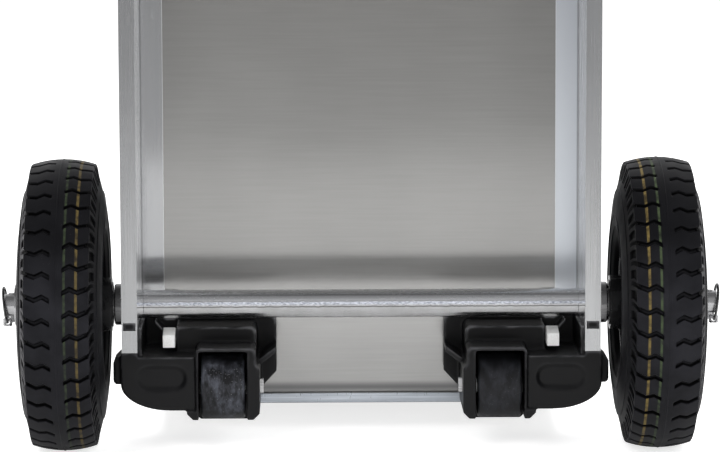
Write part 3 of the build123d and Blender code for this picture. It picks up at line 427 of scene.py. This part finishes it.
def tyre_finish():
    """Tyre rubber: dull tread blocks, painted shade over the top and on the groove walls, painted highlights
    on the shoulder blocks, and two worn painted lines.
    """
    f = Finish("tyre rubber", (0.007, 0.007, 0.0075), roughness=0.55, specular=0.13)
    depth = f.stored("depth")
    across = f.stored("across")
    truck_side = f.axis("X")
    clouds = f.noise(35.0, 5.0)
    patches = f.span(clouds, 0.3, 0.75)
    rubber = f.mix(patches, (0.0048, 0.0048, 0.0058), (0.0098, 0.0098, 0.0117))
    tread = f.mix(patches, (0.0065, 0.0065, 0.0082), (0.015, 0.015, 0.0182))
    on_tread = f.span(across, -60.0, -40.0)
    rubber = f.mix(on_tread, rubber, tread)
    # Painted shade: darker over the tyre's top
    painted_top_shade = f.span(f.axis("Z"), 0.15, 0.205, 0.0, 0.75)
    rubber = f.mix(painted_top_shade, rubber, (0.003, 0.003, 0.0036))
    # Painted shade on the groove walls
    groove_shade = f.times(f.span(depth, 0.08, 0.3), f.span(depth, 0.9, 1.0, 1.0, 0.35))
    rubber = f.mix(groove_shade, rubber, (0.0012, 0.0012, 0.0014))
    on_top = f.span(depth, 0.05, 0.3, 1.0, 0.0)
    # Painted highlight on the outer shoulder blocks, paler on the left tyre
    lug_highlight = f.times(f.stored("shoulder"), f.span(f.noise(110.0, 4.0), 0.3, 0.65, 0.4, 1.0), on_top)
    scuffed = f.mix(f.span(truck_side, *HALVES), (0.078, 0.076, 0.082), (0.04, 0.039, 0.042))
    rubber = f.mix(lug_highlight, rubber, scuffed)
    left_over = f.span(f.noise(160.0, 5.0), 0.3, 0.66, 0.15, 0.85)
    left_over = f.times(left_over, f.span(truck_side, *HALVES, 0.6, 1.0))
    for place, half, paint in PAINT_LINES:
        line = f.band(across, place, half * 0.75, half * 1.15)
        rubber = f.mix(f.times(line, on_top, left_over), rubber, paint)
    specks = f.times(f.span(f.cells(330.0), 0.05, 0.1, 1.0, 0.0), f.span(clouds, 0.48, 0.62), 0.5)
    f.color(f.mix(specks, rubber, (0.07, 0.07, 0.072)))
    f.roughness(f.span(clouds, 0.3, 0.7, 0.46, 0.6))
    f.bump(f.noise(700.0, 3.0), 0.08 * MM, 0.5)
    f.bump(f.noise(90.0, 3.0), 0.3 * MM, 0.3)
    return f.mat


def roller_finish(name, dust_level):
    """Solid roller rubber, scuffed round its face, with grey dust and small pale grains."""
    f = Finish(name, (0.016, 0.017, 0.020), roughness=0.55, specular=0.3)
    scuffs = f.noise(120.0, 6.0, (1.0, 0.45, 0.45), 0.7)
    patches = f.noise(42.0, 5.0)
    dust = f.times(f.span(scuffs, 0.38, 0.68), f.span(patches, 0.3, 0.62), dust_level)
    base = f.mix(dust, (0.006, 0.0062, 0.0072), (0.075, 0.08, 0.097))
    grains = f.times(f.span(f.cells(420.0), 0.08, 0.16, 1.0, 0.0), f.span(patches, 0.5, 0.6), dust_level)
    f.color(f.mix(grains, base, (0.22, 0.22, 0.23)))
    f.roughness(f.span(scuffs, 0.3, 0.7, 0.36, 0.62))
    f.bump(scuffs, 0.3 * MM, 0.4)
    return f.mat


def paint_finish():
    """Black gloss paint with a little orange peel."""
    f = Finish("black gloss paint", (0.005, 0.005, 0.0054), roughness=0.26, specular=0.25)
    f.shader.inputs["Coat Weight"].default_value = 0.15
    f.shader.inputs["Coat Roughness"].default_value = 0.1
    dust = f.span(f.noise(60.0, 5.0), 0.4, 0.75)
    f.color(f.mix(dust, (0.004, 0.004, 0.0044), (0.009, 0.009, 0.0097)))
    f.roughness(f.span(dust, 0.0, 1.0, 0.22, 0.4))
    f.bump(f.noise(500.0, 1.0), 0.06 * MM, 0.3)
    return f.mat


def grip_finish():
    """Soft matt grip rubber with a dusty bloom."""
    f = Finish("grip rubber", (0.010, 0.010, 0.011), roughness=0.7, specular=0.3)
    bloom = f.span(f.noise(70.0, 5.0), 0.4, 0.75)
    f.color(f.mix(bloom, (0.011, 0.011, 0.012), (0.026, 0.026, 0.028)))
    f.roughness(f.span(bloom, 0.0, 1.0, 0.6, 0.8))
    f.bump(f.noise(900.0, 2.0), 0.06 * MM, 0.5)
    return f.mat


SHEET = sheet_finish()
RAIL = rail_finish()
TUBE = tube_finish()
PLATE = plate_finish()
AXLE = zinc_finish("zinc plated tube", 0.56, seam=True)
STEEL = zinc_finish("zinc plated steel", 0.5)
BEARING = zinc_finish("ground steel", 0.6)
DARK_STEEL = zinc_finish("dark steel", 0.13)
# A paler copy of the plated steel for the right axle collar, painted lighter than the left one as a highlight
PALER_STEEL = zinc_finish("worn steel", 0.24)
PLATED = zinc_finish("bright plated steel", 0.8, metallic=0.45)
WASHER = washer_finish()
BRIGHT = bright_zinc_finish()
BRACKET = plastic_finish("bracket plastic", (0.0026, 0.0026, 0.0029), (0.0085, 0.0085, 0.0094),
                         roughness=0.36, edge_highlight=0.9, shelter=BRACKET_SHELTER)
CAP = plastic_finish("cap plastic", (0.0045, 0.0045, 0.0048), (0.013, 0.013, 0.014),
                     roughness=0.45, edge_highlight=0.5)
TYRE = tyre_finish()
PAINT = paint_finish()
GRIP = grip_finish()
DUSTY_ROLLER = roller_finish("scuffed roller rubber", 1.0)
CLEAN_ROLLER = roller_finish("roller rubber", 0.25)

BY_SLOT = {
    "rail_aluminium": RAIL,
    "panel_aluminium": SHEET,
    "toe_aluminium": PLATE,
    "axle_steel": STEEL,
    "fastener_steel": STEEL,
    "hanger_steel": BRIGHT,
    "bracket_plastic": BRACKET,
    "tyre_rubber": TYRE,
    "rim_paint": PAINT,
    "roller_rubber": CLEAN_ROLLER,
    "roller_plastic": CAP,
    "handle_aluminium": TUBE,
    "grip_rubber": GRIP,
    "cap_plastic": CAP,
    "bearing_steel": BEARING,
    "spring_wire": STEEL,
    "tube_rubber": GRIP,
}
BY_NODE = {
    "left_roller_tread": DUSTY_ROLLER,
    "left_bearing_outer_rings": CAP,
    "right_bearing_outer_rings": CAP,
    "roller_washers": WASHER,
    "axle_bushes": AXLE,
    "roller_nuts": PLATED,
    "roller_bolts": PLATED,
    "left_axle_collar": DARK_STEEL,
    "right_axle_collar": PALER_STEEL,
    "left_pin_ring": DARK_STEEL,
    "right_pin_ring": DARK_STEEL,
}
for part in frame["record"]["subparts"]:
    obj = nodes[part["node"]]
    finish = BY_NODE.get(part["node"], BY_SLOT[part["material_slot"]])
    obj.data.materials.clear()
    obj.data.materials.append(finish)


# Mesh helpers

# Bend per metre that counts as a full edge, and the share of it where an edge starts
EDGE_BEND = 140.0
EDGE_START = 0.2
# Longest share of a side that a rounded corner takes
CORNER_SHARE = 0.45


def dressed(name, mesh, finish, body, replaced):
    """An object around a finished mesh, with its material, body and CAD node."""
    mesh.materials.clear()
    mesh.materials.append(finish)
    mesh.shade_smooth()
    made = bpy.data.objects.new(name, mesh)
    scene.collection.objects.link(made)
    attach(made, body)
    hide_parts(replaced)
    return made


def piece(name, points, faces, finish, body, replaced, sharp):
    """A new mesh that rides on a body and stands for one CAD node, sharp above an angle in degrees."""
    mesh = bpy.data.meshes.new(name)
    mesh.from_pydata([tuple(p) for p in points], [], faces)
    mesh.update()
    made = dressed(name, mesh, finish, body, replaced)
    mesh.set_sharp_from_angle(angle=radians(sharp))
    return made


def rounded(corners, radius, steps=3):
    """A closed outline with each corner swapped for a short curve."""
    out = []
    count = len(corners)
    for i, corner in enumerate(corners):
        corner = np.array(corner, float)
        before = np.array(corners[i - 1], float) - corner
        after = np.array(corners[(i + 1) % count], float) - corner
        reach_before = min(radius, CORNER_SHARE * np.hypot(*before))
        reach_after = min(radius, CORNER_SHARE * np.hypot(*after))
        start = corner + before / np.hypot(*before) * reach_before
        end = corner + after / np.hypot(*after) * reach_after
        for t in np.linspace(0.0, 1.0, steps + 1):
            out.append((1 - t) ** 2 * start + 2 * t * (1 - t) * corner + t * t * end)
    return np.array(out)


def grid_faces(rows, columns):
    """Quads of a grid that closes both ways."""
    faces = []
    for i in range(rows):
        below = i * columns
        above = (i + 1) % rows * columns
        for j in range(columns):
            k = (j + 1) % columns
            faces.append((below + j, below + k, above + k, above + j))
    return faces


def flipped(faces):
    """Faces that look the other way, for a mirrored mesh."""
    return [face[::-1] for face in faces]


def lathe(outline, centre, turns):
    """Points and faces of a closed outline of (along X, radius) in millimetres, turned about an X axis."""
    outline = np.asarray(outline, float) * MM
    points = []
    for angle in np.linspace(0.0, 2 * pi, turns, endpoint=False):
        for along, radius in outline:
            y = centre[1] - radius * cos(angle)
            z = centre[2] + radius * sin(angle)
            points.append((centre[0] + along, y, z))
    return points, grid_faces(turns, len(outline))


def keep_edges(mesh):
    """Stores how sharply the surface turns outward at each point, from 0 on flats to 1 on edges."""
    count = len(mesh.vertices)
    places = np.empty(count * 3, np.float32)
    normals = np.empty(count * 3, np.float32)
    ends = np.empty(len(mesh.edges) * 2, np.int32)
    mesh.vertices.foreach_get("co", places)
    mesh.vertices.foreach_get("normal", normals)
    mesh.edges.foreach_get("vertices", ends)
    first, second = ends.reshape(-1, 2).T

    def gathered(at_first, at_second):
        """Sums at each point of what its edges bring to their two ends."""
        return np.bincount(first, at_first, count) + np.bincount(second, at_second, count)

    step = places.reshape(-1, 3)[second] - places.reshape(-1, 3)[first]
    turn = normals.reshape(-1, 3)[second] - normals.reshape(-1, 3)[first]
    bend = (turn * step).sum(1) / np.maximum((step * step).sum(1), 1e-12)
    links = np.maximum(gathered(None, None), 1)
    edge = gathered(bend, bend) / links
    nearby = gathered(edge[second], edge[first]) / links
    values = np.clip((edge + nearby) / 2 / EDGE_BEND - EDGE_START, 0.0, 1.0)
    mesh.attributes.new("edge", "FLOAT", "POINT").data.foreach_set("value", values.astype(np.float32))


def softened(node, name, finish, voxel, smoothing, keep):
    """A copy of one of the frame's CAD nodes with moulded, rounded edges."""
    source = bpy.data.objects.new(name + ".source", nodes[node].data.copy())
    scene.collection.objects.link(source)
    remesh = source.modifiers.new("remesh", "REMESH")
    remesh.mode = "VOXEL"
    remesh.voxel_size = voxel
    smooth = source.modifiers.new("smooth", "SMOOTH")
    smooth.factor = 0.5
    smooth.iterations = smoothing
    thin = source.modifiers.new("thin", "DECIMATE")
    thin.ratio = keep
    weighted = source.modifiers.new("normals", "WEIGHTED_NORMAL")
    weighted.weight = 80
    graph = bpy.context.evaluated_depsgraph_get()
    mesh = bpy.data.meshes.new_from_object(source.evaluated_get(graph))
    mesh.name = name
    bpy.data.objects.remove(source)
    keep_edges(mesh)
    dressed(name, mesh, finish, "frame", node)


# Tyres: a ribbed tread with wavy cross grooves, a row of shoulder pockets and ringed sidewalls.
# Millimetres; places round the tyre are shares of one pitch of the tread.

TYRE_R = 130.0
PITCHES = 40
PITCH = 2 * pi * TYRE_R / PITCHES
RIB_HALF = 5.2
TREAD_HALF = 28.0
TREAD_DROP = 4.5
TREAD_FOOT = 120.0
OFF_TREAD = -99.0
CENTRE_LINE_HALF = 0.6
CENTRE_LINE = 0.5
GROOVE_DEPTH = 3.8
GROOVE_FOOT = 109.5
GROOVE_FADE = 6.0
SHOULDER_GROOVE = 0.75
POCKET_DEPTH = 2.2
POCKET_SPAN = (108.5, 122.5)
POCKET_SHADE = 0.6
RING_HEIGHT = 0.7
INNER_LAG = 0.32
SIDEWALL = ((125.5, 28.0), (106.0, 32.6), (86.0, 36.8), (61.0, 32.85))
WAVE = ((0.0, -0.5), (5.4, -2.1), (12.0, 1.7), (19.0, -1.3), (27.5, 2.3), (29.5, 2.8), (40.0, 7.0))
# Radii and strengths of the painted highlight on the shoulder blocks
LUG_HIGHLIGHT_RADII = ((104.0, 0.0), (109.0, 1.0), (124.5, 1.0), (125.5, 0.0))

CROWN_STEPS = (0.0, 0.5, 0.9, 2.4, 4.0, 4.8, 5.3, 6.2, 7.6, 9.0, 10.5, 12.0, 13.6, 15.3, 17.1, 19.0,
               21.0, 23.1, 25.2, 26.6, 27.5, 28.0)
SHOULDER_STEPS = (125.0, 124.2, 123.0, 122.0, 121.3, 120.8, 119.6, 117.5, 115.0, 112.5, 110.2, 109.0,
                  108.3, 107.6, 106.0, 104.5)
RINGS = (101.0, 78.0, 69.0)
RING_SHAPE = ((1.7, 0.0), (1.1, 0.0), (0.7, 0.9), (0.0, 1.0), (-0.7, 0.9), (-1.1, 0.0), (-1.7, 0.0))
WALL_STEPS = (97.0, 94.0, 91.0, 88.0, 85.0, 82.0, 75.0, 73.0, 66.0, 64.0, 62.5, 61.4)
BEAD = ((31.4, 60.2), (29.0, 59.2), (26.9, 58.6), (26.8, 54.0), (26.4, 50.9), (20.0, 50.8), (10.0, 50.8))
GROOVE_STEPS = ((0.0, 0.0), (0.015, 0.1), (0.05, 0.9), (0.085, 1.0), (0.165, 1.0), (0.2, 0.9),
                (0.235, 0.1), (0.255, 0.0))
POCKET_STEPS = ((0.33, 0.0), (0.37, 0.0), (0.395, 1.0), (0.52, 1.0), (0.65, 1.0), (0.775, 1.0),
                (0.80, 0.0), (0.89, 0.0))


def sidewall_out(radius):
    """How far the sidewall stands out at a radius: one cubic through its four places."""
    total = 0.0
    for i, (ri, ai) in enumerate(SIDEWALL):
        term = ai
        for j, (rj, _) in enumerate(SIDEWALL):
            if i != j:
                term *= (radius - rj) / (ri - rj)
        total += term
    return total


def half_profile():
    """Places (out, radius, groove, pocket, ring) from the crown's middle to the bead."""
    crown = []
    for out in CROWN_STEPS:
        radius = TYRE_R - TREAD_DROP * (out / TREAD_HALF) ** 2
        groove = np.clip(out - RIB_HALF, 0.0, 1.0)
        ring = CENTRE_LINE if out < CENTRE_LINE_HALF else 0.0
        crown.append((out, radius, groove, 0.0, ring))
    wall = []
    for radius in SHOULDER_STEPS:
        groove = SHOULDER_GROOVE * np.clip((radius - GROOVE_FOOT) / GROOVE_FADE, 0.0, 1.0)
        pocket = 1.0 if POCKET_SPAN[0] < radius < POCKET_SPAN[1] else 0.0
        wall.append((sidewall_out(radius), radius, groove, pocket, 0.0))
    for ring in RINGS:
        for step, height in RING_SHAPE:
            wall.append((sidewall_out(ring + step), ring + step, 0.0, 0.0, height))
    for radius in WALL_STEPS:
        wall.append((sidewall_out(radius), radius, 0.0, 0.0, 0.0))
    wall.sort(key=lambda row: -row[1])
    bead = [(out, radius, 0.0, 0.0, 0.0) for out, radius in BEAD]
    return np.array(crown + wall + bead, float)


def directions(outline):
    """Unit vectors that point out of an open outline."""
    tangent = np.roll(outline, -1, 0) - np.roll(outline, 1, 0)
    tangent[0] = outline[1] - outline[0]
    tangent[-1] = outline[-1] - outline[-2]
    outward = np.stack([-tangent[:, 1], tangent[:, 0]], 1)
    return outward / np.hypot(outward[:, 0], outward[:, 1])[:, None]


def groove_shift(half, out):
    """How far the cross grooves run ahead at each place of the profile, in pitches."""
    along = np.cumsum(np.r_[0.0, np.hypot(*np.diff(half[:, :2], axis=0).T)])
    wave = np.interp(along, *np.array(WAVE).T)
    inner_share = 1.0 - np.clip((out + RIB_HALF) / (2 * RIB_HALF), 0.0, 1.0)
    return np.r_[wave[1:][::-1], wave] / PITCH + INNER_LAG * inner_share


def tyre_mesh(word, side):
    """Points and faces of one tyre, and the numbers that its tread tone, painted shade, painted highlights
    and painted lines follow.
    """
    half = half_profile()
    inner = half[1:] * [-1, 1, 1, 1, 1]
    rows = np.vstack([inner[::-1], half])
    out, radius, groove, pocket, ring = rows.T
    outward = directions(rows[:, :2])
    shift = groove_shift(half, out)
    hub = middle(f"{word}_hub")
    centre = Vector((middle(f"{word}_tyre").x, hub.y, hub.z)) / MM
    columns = [(place, cut, 0.0) for place, cut in GROOVE_STEPS]
    columns += [(place, 0.0, dent) for place, dent in POCKET_STEPS]
    points = []
    depths = []
    for turn in range(PITCHES):
        for place, cut, dent in columns:
            drop = GROOVE_DEPTH * groove * cut + POCKET_DEPTH * pocket * dent - RING_HEIGHT * ring
            shape = rows[:, :2] - outward * drop[:, None]
            angle = (turn + place + shift) * 2 * pi / PITCHES
            points.append(np.stack([
                centre.x + side * shape[:, 0],
                centre.y - shape[:, 1] * np.cos(angle),
                centre.z + shape[:, 1] * np.sin(angle),
            ], 1))
            depths.append(np.maximum(groove * cut, POCKET_SHADE * pocket * dent))
    faces = grid_faces(len(points), len(rows))
    across = np.where(radius > TREAD_FOOT, -out, OFF_TREAD)
    shoulder = np.interp(radius, *np.array(LUG_HIGHLIGHT_RADII).T) * (out > 0)
    kept = {
        "depth": np.concatenate(depths),
        "across": np.tile(across, len(points)),
        "shoulder": np.tile(shoulder, len(points)),
    }
    return np.concatenate(points) * MM, faces if side > 0 else flipped(faces), kept


for word, side in SIDES:
    points, faces, kept = tyre_mesh(word, side)
    tyre = piece(f"{word}_tyre_tread", points, faces, TYRE, f"{word}_wheel", f"{word}_tyre",
                 sharp=40.0)
    for name, values in kept.items():
        tyre.data.attributes.new(name, "FLOAT", "POINT").data.foreach_set("value", values.astype(np.float32))


# Rims: pressed halves with rolled edges and a stiffening bead

RIM = ((0.05, 24.1), (2.5, 24.1), (2.5, 26.4), (3.7, 27.3), (3.7, 33.2), (2.5, 34.2), (2.5, 36.0),
       (16.0, 48.0), (29.5, 48.0), (29.5, 58.0), (27.0, 58.0), (27.0, 50.5), (15.2, 50.5), (0.05, 37.4))
RIM_ROUND = 1.2

for word, side in SIDES:
    centre = middle(f"{word}_hub")
    centre.x = middle(f"{word}_tyre").x
    for node, toward in (("rim_outer", side), ("rim_inner", -side)):
        points, faces = lathe(rounded(RIM, RIM_ROUND) * [toward, 1.0], centre, turns=144)
        if toward < 0:
            faces = flipped(faces)
        piece(f"{word}_{node}_pressing", points, faces, PAINT, f"{word}_wheel", f"{word}_{node}",
              sharp=30.0)


# Moulded and cast pieces keep the CAD shape with rounded edges

for word, _ in SIDES:
    softened(f"{word}_roller_bracket", f"{word}_moulded_bracket", BRACKET,
             voxel=0.9 * MM, smoothing=5, keep=0.3)
    softened(f"{word}_bracket_hanger", f"{word}_cast_hanger", BRIGHT,
             voxel=0.5 * MM, smoothing=3, keep=0.5)
    softened(f"{word}_lynch_pin", f"{word}_forged_pin", STEEL,
             voxel=0.35 * MM, smoothing=6, keep=0.6)
softened("handle_clamps", "moulded_clamps", CAP, voxel=1.0 * MM, smoothing=4, keep=0.35)


# Grip: a rubber sleeve with finger ribs and end collars, in millimetres

GRIP_BORE = 13.2
RIB_PITCH = 5.0
RIB_WIDTH = 4.0
RIB_SLOPE = 0.8
RIB_DROP = 0.4
GAP_DROP = 1.3
COLLAR_ROUND = 1.5
COLLAR_LENGTH = 7.0
RIBLESS = 24.0


def grip_outline(half_length, radius):
    """The sleeve's outline of (along, radius)."""
    valley = radius - GAP_DROP
    ridge = radius - RIB_DROP
    collar = [(0.0, GRIP_BORE), (0.0, radius - COLLAR_ROUND), (COLLAR_ROUND, radius), (COLLAR_LENGTH, radius),
              (COLLAR_LENGTH + COLLAR_ROUND, valley)]
    count = int((2 * half_length - RIBLESS) // RIB_PITCH)
    outline = [(along - half_length, r) for along, r in collar]
    for i in range(count):
        start = RIB_PITCH * (i - count / 2)
        end = start + RIB_WIDTH
        outline += [(start, valley), (start + RIB_SLOPE, ridge), (end - RIB_SLOPE, ridge), (end, valley)]
    outline += [(half_length - along, r) for along, r in reversed(collar)]
    return outline


grip = half_size("handle_grip") / MM
points, faces = lathe(grip_outline(grip.x, grip.z), middle("handle_grip"), turns=96)
piece("ribbed_grip", points, faces, GRIP, "frame", "handle_grip", sharp=50.0)


# Axle tube: finely turned, with rounded ends, in millimetres

TUBE_BORE = 10.2
TUBE_ROUND = 0.6

tube = half_size("axle_tube") / MM
outline = [(-tube.x, TUBE_BORE), (-tube.x, tube.z), (tube.x, tube.z), (tube.x, TUBE_BORE)]
points, faces = lathe(rounded(outline, TUBE_ROUND), middle("axle_tube"), turns=160)
piece("plated_axle_tube", points, faces, AXLE, "frame", "axle_tube", sharp=30.0)


# Stage: a pale floor, a plain studio round the object, soft lamps and the camera behind the truck

FLOOR_HALF_WIDTH = 9.0
FLOOR_NEAR = -1.11
FLOOR_FAR = 12.0
FLOOR_HEIGHT = -0.0005
FLOOR_GREY = (0.8, 0.8, 0.8, 1.0)
FLOOR_GLOW = 0.71
FLOOR_MIRRORED = 0.21
# Studio: grey levels from straight below to straight above, and the brighter wall ahead
LEVELS = ((0.0, 0.8), (0.356, 0.8), (0.387, 0.66), (0.408, 0.45), (0.456, 0.36), (0.52, 0.5), (0.62, 0.5),
          (0.78, 0.46), (0.93, 0.24), (1.0, 0.2))
WALL_SPAN = (0.1, 0.8)
WALL_STRENGTH = 2.4


def seen_directly(g):
    """1 for what the camera sees, also through glass, and 0 for light that bounces."""
    path = g.add("ShaderNodeLightPath")
    return g.math("MAXIMUM", path.outputs["Is Camera Ray"], path.outputs["Is Transmission Ray"])


def floor_finish():
    """A pale floor that looks white and keeps the shadow, and glows less in mirroring faces."""
    mat = bpy.data.materials.new("pale floor")
    mat.use_nodes = True
    g = Graph(mat.node_tree)
    g.tree.nodes.clear()
    mirrored = g.add("ShaderNodeLightPath").outputs["Is Glossy Ray"]
    level = g.times(g.math("MULTIPLY_ADD", mirrored, FLOOR_MIRRORED, seen_directly(g)), FLOOR_GLOW)
    matt = g.add("ShaderNodeBsdfDiffuse", {"Color": FLOOR_GREY})
    glow = g.add("ShaderNodeEmission", {"Color": WHITE, "Strength": level})
    both = g.add("ShaderNodeAddShader", {0: matt.outputs[0], 1: glow.outputs[0]})
    g.add("ShaderNodeOutputMaterial", {"Surface": both.outputs[0]})
    return mat


def studio_world():
    """White where the camera sees it; for all other rays grey levels by height, brighter ahead."""
    world = bpy.data.worlds.new("studio")
    world.use_nodes = True
    g = Graph(world.node_tree)
    g.tree.nodes.clear()
    direction = g.add("ShaderNodeTexCoord").outputs["Generated"]
    split = g.add("ShaderNodeSeparateXYZ", {0: direction})
    ramp = g.add("ShaderNodeValToRGB", {"Fac": g.math("MULTIPLY_ADD", split.outputs["Z"], 0.5, 0.5)})
    while len(ramp.color_ramp.elements) < len(LEVELS):
        ramp.color_ramp.elements.new(0.5)
    for element, (place, level) in zip(ramp.color_ramp.elements, LEVELS):
        element.position = place
        element.color = (level, level, level * 1.01, 1.0)
    wall = g.span(split.outputs["Y"], *WALL_SPAN, 1.0, WALL_STRENGTH)
    room = g.add("ShaderNodeBackground", {"Color": ramp.outputs["Color"], "Strength": wall})
    white = g.add("ShaderNodeBackground", {"Color": WHITE})
    choice = g.add("ShaderNodeMixShader", {0: seen_directly(g), 1: room.outputs[0], 2: white.outputs[0]})
    g.add("ShaderNodeOutputWorld", {"Surface": choice.outputs[0]})
    return world


floor_mesh = bpy.data.meshes.new("floor")
floor_corners = [
    (-FLOOR_HALF_WIDTH, FLOOR_NEAR, FLOOR_HEIGHT),
    (FLOOR_HALF_WIDTH, FLOOR_NEAR, FLOOR_HEIGHT),
    (FLOOR_HALF_WIDTH, FLOOR_FAR, FLOOR_HEIGHT),
    (-FLOOR_HALF_WIDTH, FLOOR_FAR, FLOOR_HEIGHT),
]
floor_mesh.from_pydata(floor_corners, [], [(0, 1, 2, 3)])
floor_mesh.materials.append(floor_finish())
floor = bpy.data.objects.new("floor", floor_mesh)
scene.collection.objects.link(floor)
scene.world = studio_world()


def soft_lamp(name, place, target, size, power):
    """A rectangular lamp that polished faces don't mirror."""
    lamp = bpy.data.lights.new(name, "AREA")
    lamp.shape = "RECTANGLE"
    lamp.size, lamp.size_y = size
    lamp.energy = power
    obj = bpy.data.objects.new(name, lamp)
    obj.location = place
    obj.rotation_euler = (Vector(target) - Vector(place)).to_track_quat("-Z", "Y").to_euler()
    obj.visible_glossy = False
    scene.collection.objects.link(obj)


soft_lamp("key", place=(-2.0, -3.0, 2.6), target=(0.0, 0.0, 0.3), size=(1.8, 1.8), power=66.0)
soft_lamp("fill", place=(2.4, -2.4, 1.9), target=(0.0, 0.0, 0.3), size=(1.6, 1.6), power=50.0)
soft_lamp("low", place=(0.2, -3.4, 0.75), target=(0.0, 0.0, 0.15), size=(1.2, 0.8), power=24.0)
soft_lamp("top", place=(0.0, 0.6, 3.4), target=(0.0, 0.0, 0.2), size=(2.6, 2.0), power=50.0)
soft_lamp("front", place=(0.6, 3.2, 2.4), target=(0.0, 0.0, 0.4), size=(2.0, 1.6), power=45.0)


# Camera: behind the truck and above the axle, fitted to the tyres, the rails and the axle

PHOTO_WIDTH_PX = 720
FOCAL_PX = 3611.5
SENSOR_MM = 36.0
CAMERA_PLACE = Vector((-0.0459, -3.2926, 0.5782))
YAW = radians(0.809)
PITCH_DOWN = radians(6.749)
ROLL = radians(-0.163)

camera_data = bpy.data.cameras.new("camera")
camera_data.sensor_width = SENSOR_MM
camera_data.lens = FOCAL_PX / PHOTO_WIDTH_PX * SENSOR_MM
camera_data.clip_end = 60.0
ahead = Vector((sin(YAW) * cos(PITCH_DOWN), cos(YAW) * cos(PITCH_DOWN), -sin(PITCH_DOWN)))
level_right = Vector((cos(YAW), -sin(YAW), 0.0))
level_up = level_right.cross(ahead)
right = cos(ROLL) * level_right + sin(ROLL) * level_up
up = cos(ROLL) * level_up - sin(ROLL) * level_right
camera = bpy.data.objects.new("camera", camera_data)
camera.matrix_world = Matrix.Translation(CAMERA_PLACE) @ Matrix((right, up, -ahead)).transposed().to_4x4()
scene.collection.objects.link(camera)
scene.camera = camera

bpy.context.view_layer.update()
